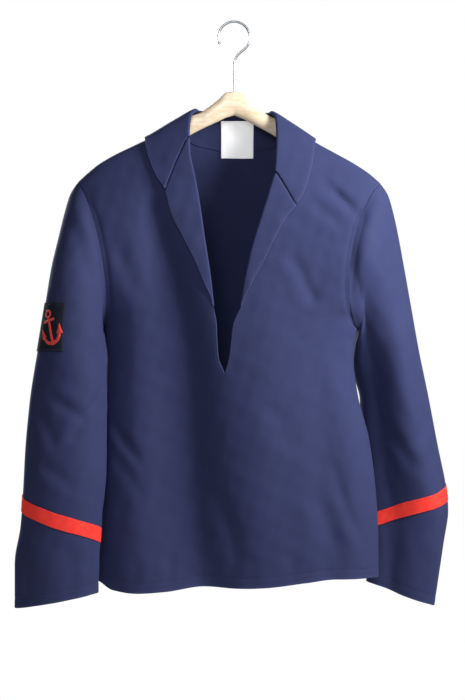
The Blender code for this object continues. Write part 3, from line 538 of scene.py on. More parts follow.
@dataclass(frozen=True)
class SleeveForm:
    """The outer face of one sleeve: degrees 0 at its outer edge, 90 in front, 180 inside."""

    body: SmockForm
    hand: Hand
    top_x: float
    under_x: float
    under_z: float
    inset: float
    rings: tuple[Ring, ...]
    inset_rings: int = 5
    inset_power: float = 1.3
    relief_fade: float = 1.2
    known: dict[bytes, Array] = field(default_factory=dict, compare=False, repr=False)

    def armhole(self, degrees: Array) -> Array:
        """Return the armhole seam, from the shoulder by the front to the underarm and back.

        Args:
            degrees: angles round the sleeve.

        Returns:
            A point for each.
        """
        hand = self.hand.value
        angles = np.radians(degrees)
        top = np.array([hand * self.top_x, float(self.body.ridge_height(hand * self.top_x))])
        foot = np.array([hand * self.under_x, self.under_z])
        middle = (top + foot) / 2
        half = (top - foot) / 2
        sway = np.abs(np.sin(angles)) ** self.inset_power
        x = middle[0] + half[0] * np.cos(angles) - hand * self.inset * sway
        z = middle[1] + half[1] * np.cos(angles)
        front = self.body.on_side(x, z, Side.FRONT)
        back = self.body.on_side(x, z, Side.BACK)
        points = np.where((np.sin(angles) > 0)[..., None], front, back)
        points[np.abs(np.sin(angles)) < 1e-6, 1] = 0.0
        return points

    def lead(self, degrees: Array) -> Array:
        """Return the direction in which the cloth is thick at the armhole seam.

        Args:
            degrees: angles round the sleeve.

        Returns:
            A unit vector for each.
        """
        angles = np.radians(degrees)
        out = self.hand.value * 0.5 * np.maximum(np.cos(angles), 0)
        return unit(np.stack([out, -np.sin(angles), np.cos(angles)], axis=-1))

    def ring_points(self, degrees: Array) -> Array:
        """Return the rings of points at these angles; the first is the armhole seam.

        Args:
            degrees: angles round the sleeve.

        Returns:
            A row of points for each ring.
        """
        hand = self.hand.value
        angles = np.radians(degrees)
        made = [self.armhole(degrees)]
        for number, ring in enumerate(self.rings):
            out = np.array([hand * ring.out_x, ring.out_z])
            inside = np.array([hand * ring.in_x, ring.in_z])
            middle = (out + inside) / 2
            half = (out - inside) / 2
            held = max(0.0, 1 - (number + 1) / self.inset_rings)
            x = middle[0] + half[0] * np.cos(angles)
            x = x - hand * self.inset * held * np.abs(np.sin(angles)) ** self.inset_power
            z = middle[1] + half[1] * np.cos(angles)
            raised = sum(fold.relief(np.mod(degrees, 360), z) for fold in SLEEVE_FOLDS[self.hand])
            out_x, out_y = ring.depth * np.cos(angles), abs(half[0]) * np.sin(angles)
            long = np.hypot(out_x, out_y)
            x = x + hand * raised * out_x / long
            y = ring.mid_y - ring.depth * np.sin(angles) - raised * out_y / long
            made.append(np.stack([x, y, z], axis=-1))
        return np.array(made)

    def relief(self, degrees: Array, z: Array, place: Array) -> Array:
        """Return how far creases raise the sleeve's cloth.

        Args:
            degrees: angles round the sleeve.
            z: heights.
            place: places counted in rings.

        Returns:
            The rise at each place.
        """
        turn = np.mod(degrees, 360)
        total = unevenness(turn + 500.0, z)
        for crease in SLEEVE_CREASES[self.hand]:
            total = total + crease.relief(turn, z)
        meet = ease((turn - 2) / 24) * ease((358 - turn) / 24)
        return total * meet * ease(place / self.relief_fade)

    def bare(self, degrees: Array, place: Array) -> Array:
        """Return points of the sleeve without its creases, at places counted in rings.

        Args:
            degrees: angles round the sleeve.
            place: a place for each.

        Returns:
            The points.
        """
        key = np.asarray(degrees, float).tobytes()
        if key not in self.known:
            self.known[key] = self.ring_points(degrees)
        return smooth_each(place, self.known[key])

    def point(self, degrees: Array, place: Array) -> Array:
        """Return points of the creased sleeve, at places counted in rings.

        Args:
            degrees: angles round the sleeve.
            place: a place for each.

        Returns:
            The points.
        """
        points = self.bare(degrees, place)
        around = self.bare(degrees + 1, place) - self.bare(degrees - 1, place)
        down = (self.bare(degrees, np.minimum(place + 0.05, len(self.rings)))
                - self.bare(degrees, np.maximum(place - 0.05, 0)))
        normal = unit(np.cross(around, down)) * self.hand.value
        return points + normal * self.relief(degrees, points[:, 2], place)[:, None]

    def place_of(self, degrees: Array, height: Array) -> Array:
        """Return where along the sleeve these heights lie at these angles.

        Args:
            degrees: angles round the sleeve.
            height: a height for each.

        Returns:
            The places, counted in rings.
        """
        low = np.zeros(len(degrees))
        high = np.full(len(degrees), float(len(self.rings)))
        for _ in range(22):
            middle = (low + high) / 2
            above = self.bare(degrees, middle)[:, 2] > height
            low = np.where(above, middle, low)
            high = np.where(above, high, middle)
        return (low + high) / 2

    def grid(self, degrees: Array, height: Array, lift: Any) -> Array:
        """Lay a grid on the sleeve.

        Args:
            degrees: angles, in rows and columns.
            height: heights, alike.
            lift: how far the grid stands off the sleeve.

        Returns:
            The grid's points.
        """
        flat_degrees = np.broadcast_to(degrees, height.shape).ravel()
        place = self.place_of(flat_degrees, height.ravel())
        last = len(self.rings)
        around = self.point(flat_degrees + 1, place) - self.point(flat_degrees - 1, place)
        down = (self.point(flat_degrees, np.minimum(place + 0.04, last))
                - self.point(flat_degrees, place - 0.04))
        normal = unit(np.cross(around, down)) * self.hand.value
        lifts = np.broadcast_to(lift, height.shape).ravel()[:, None]
        return (self.point(flat_degrees, place) + normal * lifts).reshape(height.shape + (3,))


def sleeve_forms(body: SmockForm) -> dict[Hand, SleeveForm]:
    """Return the forms of both sleeves by hand.

    Args:
        body: the smock's body, which the sleeves are set into.

    Returns:
        A form for each hand.
    """
    right = table(
        Ring,
        (247.7, -260.3, 196.5, -466.8, -2, 56), (255.5, -288.8, 192.0, -475.9, -10, 56),
        (262.9, -325.4, 189.5, -490.0, -24, 55), (272.0, -370.0, 188.5, -508.0, -37, 53),
        (279.5, -420.3, 188.5, -529.8, -45, 51), (288.5, -479.1, 187.9, -559.4, -51, 49),
        (302.3, -568.1, 187.7, -613.5, -54, 46), (308.8, -642.0, 187.9, -667.6, -58, 44),
        (311.5, -697.1, 190.8, -706.9, -60, 43), (315.3, -753.1, 195.1, -753.1, -61, 41),
        (324.0, -810.2, 198.0, -799.0, -62, 37), (324.0, -874.5, 199.5, -852.5, -62, 32))
    left = table(
        Ring,
        (232.8, -260.2, 189.5, -465.8, 2, 54), (241.2, -286.1, 187.5, -473.8, 8, 54),
        (249.8, -320.0, 182.5, -486.9, 19, 53), (259.9, -368.1, 180.0, -508.2, 32, 52),
        (271.2, -426.7, 184.0, -535.8, 42, 50), (284.0, -494.0, 193.0, -571.8, 50, 48),
        (299.0, -563.8, 195.2, -623.4, 56, 46), (313.8, -638.1, 198.7, -677.2, 62, 44),
        (327.0, -703.1, 203.0, -722.7, 64, 42), (331.0, -742.3, 205.1, -752.6, 65, 41),
        (323.6, -793.8, 205.1, -793.8, 65, 39), (314.3, -856.5, 205.1, -834.0, 65, 35),
        (309.5, -888.0, 204.1, -851.0, 65, 32))
    return {Hand.RIGHT: SleeveForm(body, Hand.RIGHT, 237, 197, -462, 20, right),
            Hand.LEFT: SleeveForm(body, Hand.LEFT, 222, 187, -462, 30, left)}


@dataclass(frozen=True)
class Station:
    """A section of the collar; a drop on the front is negative."""

    seam_x: float
    seam_drop: float
    roll_x: float
    roll_drop: float
    edge_x: float
    edge_drop: float


@dataclass(frozen=True)
class NeckForm:
    """How collar and lapels turn over round the neck."""

    body: SmockForm
    fold_radius: float = 2.0
    fold_reach: float = 3.0
    edge_rise: float = 1.0
    neck_gap: float = 0.5
    ridge_station: int = 4
    stations: dict[Hand, tuple[Station, ...]] = field(default_factory=lambda: {
        Hand.RIGHT: table(
            Station,
            (71.0, -37.0, 66.0, -38.5, 101.4, -97), (72.5, -29.0, 66.0, -32, 116, -66),
            (75.5, -17.0, 65.0, -17, 125, -38.5), (79.0, -4.0, 62.0, -5, 131, -14),
            (80.0, 0.0, 57.0, -1, 132.5, 0), (79.5, 6.0, 52.0, 2, 131, 14),
            (76.0, 27.0, 42.0, 5, 123, 32), (62.0, 46.0, 30.0, 8, 105, 55),
            (38.0, 60.0, 17.0, 11.5, 70, 83)),
        Hand.LEFT: table(
            Station,
            (65.5, -90.0, 60.0, -92, 91.4, -120), (68.5, -62.0, 61.7, -64, 101.7, -97),
            (73.0, -35.0, 63.0, -34, 111.5, -60), (77.0, -8.0, 61.5, -7, 118, -24),
            (78.0, 0.0, 56.0, -1, 121, 0), (77.5, 6.0, 51.0, 2, 120, 14),
            (74.5, 27.0, 41.0, 5, 113, 32), (61.0, 46.0, 29.0, 8, 97, 55),
            (37.0, 60.0, 16.5, 11.5, 66, 83))})
    centre: Station = Station(0, 70.5, 0, 14, 0, 100)
    lapel_roll: dict[Hand, tuple[tuple[float, float], ...]] = field(default_factory=lambda: {
        Hand.RIGHT: ((-66, -178), (-64.5, -202), (-57, -238), (-49.5, -282), (-43.5, -323),
                     (-37.5, -362), (-31.6, -401), (-27.3, -429)),
        Hand.LEFT: ((60, -232), (58.8, -235), (47, -273), (36.5, -306), (26, -341), (17.2, -380),
                    (9.8, -418.5), (7.2, -429))})
    lapel_edge: dict[Hand, tuple[tuple[float, float], ...]] = field(default_factory=lambda: {
        Hand.RIGHT: ((-101.4, -257), (-91, -294), (-73, -329.5), (-57, -362), (-43.5, -395),
                     (-36.5, -418), (-34.5, -431)),
        Hand.LEFT: ((91.4, -280.6), (75, -301), (60, -329), (42.5, -365), (24.6, -398),
                    (14.2, -429))})

    def turned(self, roll: Array, heading: Array, crease: Array) -> tuple[Array, Array, Array]:
        """Find how the cloth turns over along an edge.

        Args:
            roll: x and signed root of the turned edge, row by row.
            heading: roughly over the cloth, for each row.
            crease: along the turned edge, for each row.

        Returns:
            The fold's middle line, its normals and the directions over the cloth.
        """
        normal = self.body.normal(roll[:, 0], roll[:, 1])
        over = unit(np.cross(normal, crease))
        over = over * np.sign(np.sum(over * heading, axis=1))[:, None]
        return self.body.point(roll[:, 0], roll[:, 1]) + self.fold_reach * over, normal, over

    def fold_points(self, middle: Array, normal: Array, over: Array, turns: Array) -> Array:
        """Return the turned edge in section, from under the cloth to over it, for each row.

        Args:
            middle: the fold's middle line.
            normal: a normal for each row.
            over: the direction over the cloth for each row.
            turns: angles in section, in radians.

        Returns:
            Rows and columns of points.
        """
        up = 1 - self.fold_radius * np.cos(turns)
        out = self.fold_radius * np.sin(turns)
        return (middle[:, None] + normal[:, None] * up[None, :, None]
                - over[:, None] * out[None, :, None])

    def fall_points(self, middle: Array, edge: Array, shares: Array) -> Array:
        """Return points over the cloth from the fold's middle to the free edge, for each row.

        Args:
            middle: the fold's middle line.
            edge: x and signed root of the free edge, row by row.
            shares: from 0 at the fold to 1 at the edge.

        Returns:
            Rows and columns of points.
        """
        drop = np.maximum(self.body.ridge_height(middle[:, 0]) - middle[:, 2], 0)
        start = np.stack([middle[:, 0], np.copysign(np.sqrt(drop), middle[:, 1])], axis=-1)
        places = start[:, None] + (edge - start)[:, None] * shares[None, :, None]
        lift = 1 + self.fold_radius + self.edge_rise * np.broadcast_to(shares, places.shape[:2])
        return self.body.lifted(places[..., 0], places[..., 1], lift)

    def collar_rows(self, steps: int) -> Array:
        """Return seam, roll and edge as x and root, at this many steps between stations.

        Args:
            steps: how many rows each gap between stations gets.

        Returns:
            Three places for each row.
        """
        def placed(station: Station, hand: Hand) -> list[list[float]]:
            """Return one station's three places."""
            return [[hand.value * getattr(station, part + "_x"),
                     float(root(getattr(station, part + "_drop")))]
                    for part in ("seam", "roll", "edge")]
        right = [placed(station, Hand.RIGHT) for station in self.stations[Hand.RIGHT]]
        left = [placed(station, Hand.LEFT) for station in self.stations[Hand.LEFT]]
        rows = np.array(right + [placed(self.centre, Hand.LEFT)] + left[::-1])
        at = np.linspace(0, len(rows) - 1, (len(rows) - 1) * steps + 1)
        return smooth(at, np.arange(len(rows)), rows)

    def lapel_rows(self, hand: Hand, count: int) -> tuple[Array, Array]:
        """Return roll and edge of a lapel as x and root, in this many rows from the gorge.

        Args:
            hand: the wearer's hand that the lapel is on.
            count: how many rows there are.

        Returns:
            The roll and the edge.
        """
        shares = np.linspace(0, 1, count)
        roll = along(self.lapel_roll[hand], shares)
        edge = along(self.lapel_edge[hand], shares)
        roll[:, 1] = self.body.root_at(roll[:, 0], roll[:, 1], Side.FRONT)
        edge[:, 1] = self.body.root_at(edge[:, 0], edge[:, 1], Side.FRONT)
        return roll, edge

    def lapel_folds(self, hand: Hand, count: int) -> tuple[Array, Array, Array, Array, Array]:
        """Return edge, fold middle, normal, over and crease directions of a lapel.

        Args:
            hand: the wearer's hand that the lapel is on.
            count: how many rows there are.

        Returns:
            The five arrays, row by row.
        """
        roll, edge = self.lapel_rows(hand, count)
        line = self.body.point(roll[:, 0], roll[:, 1])
        crease = unit(np.gradient(line, axis=0))
        sideways = np.array([4.0, 1.0, 1.0])
        heading = (self.body.point(edge[:, 0], edge[:, 1]) - line) * sideways
        middle, normal, over = self.turned(roll, heading, crease)
        return edge, middle, normal, over, crease

    def neck_edge(self, hand: Hand, side: Side) -> list[tuple[float, float]]:
        """Return the panel's neck edge as x, z points, from the shoulder ridge.

        Args:
            hand: the wearer's hand that the edge is on.
            side: the front or the back.

        Returns:
            The points.
        """
        rows = self.stations[hand]
        if side is Side.FRONT:
            chosen = rows[self.ridge_station::-1]
        else:
            chosen = rows[self.ridge_station:] + (self.centre,)
        points = []
        for station in chosen:
            seam = self.body.point(hand.value * station.seam_x, root(station.seam_drop))
            roll = self.body.point(hand.value * station.roll_x, root(station.roll_drop))
            back_off = unit(seam - roll) * self.neck_gap
            x = float(seam[0] + back_off[0])
            on_ridge = station.seam_drop == 0
            z = float(self.body.ridge_height(x)) if on_ridge else float(seam[2] + back_off[2])
            points.append((x, z))
        if side is Side.BACK:
            points[-1] = (0.0, points[-1][1])
        return points


def colour(code: str) -> tuple[float, float, float, float]:
    """Turn an sRGB hex colour to linear light.

    Args:
        code: six hex digits.

    Returns:
        Red, green, blue and full alpha.
    """
    parts = [int(code[i:i + 2], 16) / 255 for i in (0, 2, 4)]
    linear = [c / 12.92 if c <= 0.04045 else ((c + 0.055) / 1.055) ** 2.4 for c in parts]
    return (*linear, 1.0)


def add_node(tree: Tree, kind: str, settings: dict[str, Any] | None = None,
             links: dict[Any, Any] | None = None) -> Node:
    """Add a node with its settings and links.

    Args:
        tree: the node tree.
        kind: the node's type name.
        settings: the node's own properties by name.
        links: for each input, by name or number, an output socket or a plain value.

    Returns:
        The new node.
    """
    node = tree.nodes.new(kind)
    for name, value in (settings or {}).items():
        setattr(node, name, value)
    for name, value in (links or {}).items():
        if isinstance(value, Socket):
            tree.links.new(value, node.inputs[name])
        else:
            node.inputs[name].default_value = value
    return node


def made(tree: Tree, kind: str, settings: dict[str, Any] | None = None,
         links: dict[Any, Any] | None = None, output: int | str = 0) -> Socket:
    """Add a node with its settings and links, and return one of its outputs."""
    return add_node(tree, kind, settings, links).outputs[output]


def new_material(name: str, values: dict[str, Any]) -> tuple[Material, Tree, Node]:
    """Make a material.

    Args:
        name: the finish's name.
        values: the shader's inputs by name; a hex code stands for its colour.

    Returns:
        The material, its node tree and its Principled shader.
    """
    material = bpy.data.materials.new(name)
    material.use_nodes = True
    tree = material.node_tree
    shader = tree.nodes["Principled BSDF"]
    for key, value in values.items():
        shader.inputs[key].default_value = colour(value) if isinstance(value, str) else value
    return material, tree, shader


def noise(tree: Tree, place: Socket, scale: float, detail: float, **more: float) -> Socket:
    """Return a noise's value at a place."""
    links = {"Vector": place, "Scale": scale, "Detail": detail, **more}
    return made(tree, "ShaderNodeTexNoise", links=links)


def ribs(tree: Tree, place: Socket, pitch_mm: float, distortion: float, detail_scale: float) -> Socket:
    """Return ribs of this pitch across a place's x, from 0 to 1 and a little uneven."""
    links = {"Vector": place, "Scale": 1 / (pitch_mm * MM) / WAVES_PER_UNIT, "Distortion": distortion,
             "Detail": 1.0, "Detail Scale": detail_scale}
    return made(tree, "ShaderNodeTexWave", {"bands_direction": "X"}, links, "Fac")


def scaled(tree: Tree, value: Socket, factor: float, added: Any = 0.0) -> Socket:
    """Return a value times a factor, plus what is added."""
    links = {0: value, 1: factor, 2: added}
    return made(tree, "ShaderNodeMath", {"operation": "MULTIPLY_ADD"}, links)


def spread(tree: Tree, value: Socket, low: float, high: float,
           ends: tuple[float, float] = (0.0, 1.0)) -> Socket:
    """Return a value stretched so that low and high come to the two ends."""
    links = {"Value": value, "From Min": low, "From Max": high, "To Min": ends[0], "To Max": ends[1]}
    return made(tree, "ShaderNodeMapRange", links=links)


def two_tones(tree: Tree, share: Socket, deep: Any, light: Any) -> Socket:
    """Return the colour that lies between two, each a hex code or a socket, at this share."""
    deep, light = (colour(tone) if isinstance(tone, str) else tone for tone in (deep, light))
    return made(tree, "ShaderNodeMix", {"data_type": "RGBA"}, {0: share, 6: deep, 7: light}, 2)


def surface(shader: Node, tone: Socket, height: Socket, strength: float, depth_mm: float) -> None:
    """Give a shader its colour and its fine relief.

    Args:
        shader: the Principled shader.
        tone: its colour.
        height: the relief.
        strength: how much of the relief shows.
        depth_mm: how deep it is.
    """
    tree = shader.id_data
    links = {"Strength": strength, "Distance": depth_mm * MM, "Height": height}
    tree.links.new(tone, shader.inputs["Base Color"])
    tree.links.new(made(tree, "ShaderNodeBump", links=links), shader.inputs["Normal"])


@dataclass(frozen=True)
class WoolCloth:
    """A woollen cloth: fine slanting twill, a soft nap and patchy dye."""

    name: str
    deep: str
    light: str
    nap: str
    sheen: float
    twill_mm: float
    twill_degrees: float
    bump_mm: float
    mottle: float
    nap_share: float = 0.16
    rub_share: float = 0.09

    def make(self) -> Material:
        """Build the material; its twill follows the cloth map and its dye the object."""
        material, tree, shader = new_material(self.name, {
            "Roughness": 0.82, "Specular IOR Level": 0.22, "Sheen Weight": self.sheen,
            "Sheen Roughness": 0.42, "Sheen Tint": self.nap})
        place = add_node(tree, "ShaderNodeTexCoord").outputs
        turned = made(tree, "ShaderNodeMapping", links={
            "Vector": place["UV"], "Rotation": (0, 0, math.radians(self.twill_degrees))})
        twill = ribs(tree, turned, self.twill_mm, 0.6, 1.6)
        cloud = noise(tree, place["Object"], 34.0, 4.0, Roughness=0.6)
        fuzz = noise(tree, place["Object"], 900.0, 3.0, Roughness=0.7)
        patches = spread(tree, cloud, 0.5 - self.mottle, 0.5 + self.mottle)
        dye = two_tones(tree, patches, self.deep, self.light)
        worn = made(tree, "ShaderNodeAttribute", {"attribute_name": "wear"}, output="Fac")
        rub = scaled(tree, worn, self.rub_share, scaled(tree, fuzz, self.nap_share))
        surface(shader, two_tones(tree, rub, dye, self.nap), scaled(tree, fuzz, 0.9, twill), 1.0,
                self.bump_mm)
        return material


@dataclass(frozen=True)
class RibbedTape:
    """A narrow woven tape with ribs across it, as braid and label tape have."""

    name: str
    deep: str
    light: str
    rib_mm: float
    bump_mm: float
    roughness: float
    sheen: float
    # painted light: an emission strength that makes the tape look brighter than its lamps light it
    glow: float = 0.0

    def make(self) -> Material:
        """Build the material; the ribs follow the tape's own map."""
        # The emission, in the tape's lighter tone, is painted light: the tape glows though it is no lamp
        material, tree, shader = new_material(self.name, {
            "Emission Color": self.light, "Emission Strength": self.glow, "Roughness": self.roughness,
            "Specular IOR Level": 0.3, "Sheen Weight": self.sheen, "Sheen Tint": self.light})
        place = add_node(tree, "ShaderNodeTexCoord").outputs
        across = ribs(tree, place["UV"], self.rib_mm, 0.5, 2.0)
        cloud = noise(tree, place["Object"], 130.0, 3.0)
        tone = spread(tree, scaled(tree, across, 0.35, cloud), 0.4, 0.95)
        surface(shader, two_tones(tree, tone, self.deep, self.light), across, 1.0, self.bump_mm)
        return material


@dataclass(frozen=True)
class Thread:
    """Twisted sewing or embroidery thread, with its ply lines along the piece."""

    name: str
    deep: str
    light: str
    roughness: float
    sheen: float

    def make(self) -> Material:
        """Build the material; each stitch differs a little through the object's place."""
        material, tree, shader = new_material(self.name, {
            "Roughness": self.roughness, "Sheen Weight": self.sheen})
        place = add_node(tree, "ShaderNodeTexCoord").outputs
        ply = noise(tree, place["Object"], 700.0, 2.0)
        dye = two_tones(tree, spread(tree, ply, 0.35, 0.65), self.deep, self.light)
        surface(shader, dye, ply, 0.6, 0.12)
        return material


@dataclass(frozen=True)
class VarnishedBeech:
    """Pale planed beech under clear varnish: faint long grain and short flecks."""

    name: str = "varnished_beech"
    pale: str = "f6e6cd"
    grain: str = "e3c59b"
    grain_mm: float = 5.0

    def make(self) -> Material:
        """Build the material; the grain runs along the bar."""
        material, tree, shader = new_material(self.name, {
            "Roughness": 0.34, "Coat Weight": 0.35, "Coat Roughness": 0.18})
        place = add_node(tree, "ShaderNodeTexCoord").outputs
        stretched = made(tree, "ShaderNodeMapping", links={
            "Vector": place["Object"], "Scale": (0.09, 1.0, 1.0)})
        rings = noise(tree, stretched, 1 / (self.grain_mm * MM), 5.0, Roughness=0.65, Distortion=0.4)
        flecks = noise(tree, stretched, 6 / (self.grain_mm * MM), 2.0)
        lines = scaled(tree, flecks, 0.3, rings)
        surface(shader, two_tones(tree, spread(tree, lines, 0.5, 0.85), self.pale, self.grain), lines,
                0.3, 0.15)
        return material


@dataclass(frozen=True)
class DrawnSteel:
    """Bright drawn steel wire: fine lines along it and slightly uneven gloss."""

    name: str = "drawn_steel_wire"
    tone: str = "c9ccd0"
    dull: str = "a9adb3"
    gloss: tuple[float, float] = (0.2, 0.38)

    def make(self) -> Material:
        """Build the material."""
        material, tree, shader = new_material(self.name, {"Metallic": 1.0})
        place = add_node(tree, "ShaderNodeTexCoord").outputs
        smears = noise(tree, place["Object"], 420.0, 3.0)
        rough = spread(tree, smears, 0.0, 1.0, self.gloss)
        tree.links.new(rough, shader.inputs["Roughness"])
        surface(shader, two_tones(tree, smears, self.dull, self.tone), smears, 0.3, 0.05)
        return material


# Wool gabardine: hard twisted twill, so the eye sees an even deep blue with a dull soft sheen;
# the real twill of 0.4 mm would blur at this distance, so it is drawn coarser, at 1.1 mm
GABARDINE = WoolCloth("navy_wool_gabardine", "20264b", "272d54", "7680b4", 0.16, 1.1, 63.0, 0.045, 0.3)
# Felted wool of the badge: no twill shows, nearly black and without lustre
BADGE_FELT = WoolCloth("blue_black_badge_felt", "10131d", "181c2a", "4a5068", 0.20, 0.7, 45.0, 0.10, 0.12)
# Worsted braid: clear signal red with fine ribs across the run, and a slight glow that is painted light,
# an emission that keeps it as vivid beside the dark cloth as brightly lit red wool looks
RED_BRAID = RibbedTape("red_worsted_braid", "fb2e24", "ff463a", 1.3, 0.16, 0.72, 0.25, 0.1)
# Bleached cotton tape: plain bright white, with a glow that stands for the light it catches
LABEL_COTTON = RibbedTape("bleached_cotton_tape", "fafaf8", "ffffff", 0.9, 0.08, 0.75, 0.1, 0.35)
# Mercerised thread: a slight gloss on each stitch
NAVY_THREAD = Thread("navy_sewing_thread", "20264a", "39416f", 0.55, 0.2)
RED_THREAD = Thread("red_embroidery_thread", "d8241d", "ff4b3d", 0.5, 0.25)
WHITE_THREAD = Thread("white_sewing_thread", "e6e5e1", "ffffff", 0.6, 0.1)


def grid_normals(points: Array, outward: Array, wrap: bool = False) -> Array:
    """Find a grid's unit normals.

    Args:
        points: rows and columns of points.
        outward: a vector, or one for each point, that the normals should mostly agree with.
        wrap: whether the last column is the first one again.

    Returns:
        A normal for each point.
    """
    if wrap:
        ring = np.concatenate([points[:, -2:-1], points, points[:, 1:2]], axis=1)
        across = np.gradient(ring, axis=1)[:, 1:-1]
    else:
        across = np.gradient(points, axis=1)
    normals = unit(np.cross(across, np.gradient(points, axis=0)))
    agree = np.sum(normals * outward)
    return normals if agree > 0 else -normals


def run_from(points: Array, border: Border) -> Array:
    """Measure the distance of each point from a border, along the grid's lines.

    Args:
        points: rows and columns of points.
        border: the border to measure from.

    Returns:
        A distance for each point.
    """
    axis = 0 if border in (Border.TOP, Border.FOOT) else 1
    steps = np.linalg.norm(np.diff(points, axis=axis), axis=-1)
    start = np.zeros_like(np.take(steps, [0], axis=axis))
    if border in (Border.TOP, Border.OUTER):
        return np.concatenate([start, np.cumsum(steps, axis=axis)], axis=axis)
    back = np.flip(np.cumsum(np.flip(steps, axis), axis=axis), axis)
    return np.concatenate([back, start], axis=axis)


def cloth_map(points: Array) -> Array:
    """Return each point's distances from the grid's outer and top borders."""
    return np.stack([run_from(points, Border.OUTER), run_from(points, Border.TOP)], axis=-1)


def inset_line(points: Array, normals: Array, border: Border, inset: float,
               lift: float) -> tuple[Array, Array]:
    """Trace a line on a grid at a distance from one of its borders.

    Args:
        points: rows and columns of points.
        normals: a normal for each.
        border: the border that the line follows.
        inset: its distance from that border.
        lift: how far it stands off the grid.

    Returns:
        The line's points and its normals.
    """
    run = run_from(points, border)
    if border in (Border.TOP, Border.FOOT):
        run, points, normals = run.T, points.swapaxes(0, 1), normals.swapaxes(0, 1)
    line, leads = [], []
    for distance, row, lead in zip(run, points, normals):
        if distance[0] > distance[-1]:
            distance, row, lead = distance[::-1], row[::-1], lead[::-1]
        line.append([np.interp(inset, distance, row[:, i]) for i in range(3)])
        leads.append([np.interp(inset, distance, lead[:, i]) for i in range(3)])
    leads = unit(leads)
    return np.array(line) + leads * lift, leads


class ClothWall:
    """The quads of a cloth's wall, from grids that join where their points coincide."""

    weld = 0.0137

    def __init__(self) -> None:
        """Start with no grid."""
        self.grids: list[dict[str, Array]] = []
        self.quads: list[Array] = []
        self.count = 0

    def add(self, middle: Array, normals: Array, out: Any, inward: Any, grain: Array,
            bulge: Any = 0.0, wear: Any = 0.0) -> "ClothWall":
        """Add a grid.

        Args:
            middle: rows and columns of points.
            normals: a normal for each.
            out: how far the wall reaches out along the normals.
            inward: how far it reaches in.
            grain: the cloth map, two lengths for each point.
            bulge: how far the wall's edge is rounded out.
            wear: how rubbed the cloth is, from 0 to 1.

        Returns:
            The wall itself.
        """
        shape = middle.shape[:2]
        ids = np.arange(shape[0] * shape[1]).reshape(shape)
        quads = np.stack([ids[:-1, :-1], ids[:-1, 1:], ids[1:, 1:], ids[1:, :-1]], -1).reshape(-1, 4)
        flat = middle.reshape(-1, 3)
        facing = np.cross(flat[quads[:, 2]] - flat[quads[:, 0]], flat[quads[:, 3]] - flat[quads[:, 1]])
        if np.sum(facing * normals.reshape(-1, 3)[quads[:, 0]]) < 0:
            quads = quads[:, ::-1]
        spread = {name: np.broadcast_to(value, shape).reshape(-1, 1)
                  for name, value in (("out", out), ("inward", inward), ("bulge", bulge), ("wear", wear))}
        lead = normals.reshape(-1, 3)
        self.grids.append({
            "middle": flat, "lead": lead, "outer": flat + lead * spread["out"],
            "inner": flat - lead * spread["inward"], "grain": grain.reshape(-1, 2) * MM,
            "bulge": spread["bulge"], "wear": spread["wear"]})
        self.quads.append(quads + self.count)
        self.count += len(flat)
        return self

    def mesh(self) -> Mesh:
        """Close the wall and return it as a mesh in metres, with its cloth map and its wear.

        Returns:
            The mesh.
        """
        data = {key: np.concatenate([grid[key] for grid in self.grids]) for key in self.grids[0]}
        corners = np.concatenate(self.quads)
        keys = np.round(data["middle"] / self.weld).astype(np.int64)
        _, first, same = np.unique(keys, axis=0, return_index=True, return_inverse=True)
        quads = same.reshape(-1)[corners]
        kept = {key: value[first] for key, value in data.items()}
        count = len(first)
        starts = quads.ravel()
        ends = np.roll(quads, -1, axis=1).ravel()
        open_edge = ~np.isin(starts * count + ends, ends * count + starts)
        edge_start, edge_end = starts[open_edge], ends[open_edge]
        rims, aside = np.unique(np.concatenate([edge_start, edge_end]), return_inverse=True)
        away = np.zeros((len(rims), 3))
        lean = np.cross(kept["middle"][edge_end] - kept["middle"][edge_start], kept["lead"][edge_start])
        np.add.at(away, aside[:len(edge_start)], lean)
        np.add.at(away, aside[len(edge_start):], lean)
        middles = (kept["outer"][rims] + kept["inner"][rims]) / 2 + unit(away) * kept["bulge"][rims]
        points = np.concatenate([kept["outer"], kept["inner"], middles]) * MM
        rim_start = aside[:len(edge_start)] + 2 * count
        rim_end = aside[len(edge_start):] + 2 * count
        faces = np.concatenate([
            quads, quads[:, ::-1] + count,
            np.stack([edge_end, edge_start, rim_start, rim_end], -1),
            np.stack([rim_end, rim_start, edge_start + count, edge_end + count], -1)])
        grain = np.concatenate([data["grain"][corners], data["grain"][corners[:, ::-1]],
                                np.repeat(kept["grain"][edge_start][:, None], 8, axis=1).reshape(-1, 4, 2)])
        wear = np.concatenate([kept["wear"], kept["wear"], kept["wear"][rims]])
        return quad_mesh(points, faces, grain, wear)


def quad_mesh(points: Array, faces: Array, grain: Array, wear: Array) -> Mesh:
    """Make a smooth mesh from quads; one with two corners in one place becomes a triangle.

    Args:
        points: in metres.
        faces: four point numbers each.
        grain: the cloth map, for each face and corner.
        wear: one number for each point.

    Returns:
        The mesh.
    """
    mesh = bpy.data.meshes.new("cloth")
    whole = np.all(faces != np.roll(faces, 1, axis=1), axis=1)
    polygons = [tuple(face) for face in faces[whole].tolist()]
    pinched = [list(dict.fromkeys(face)) for face in faces[~whole].tolist()]
    pinched = [tuple(face) for face in pinched if len(face) == 3]
    mesh.from_pydata(points.tolist(), [], polygons + pinched)
    layer = mesh.uv_layers.new(name="cloth_map")
    pairs = np.zeros((len(mesh.loops), 2), np.float32)
    pairs[:4 * len(polygons)] = grain[whole].reshape(-1, 2)
    layer.uv.foreach_set("vector", pairs.ravel())
    attribute = mesh.attributes.new("wear", "FLOAT", "POINT")
    attribute.data.foreach_set("value", np.asarray(wear, np.float32).ravel())
    mesh.shade_smooth()
    mesh.update()
    return mesh


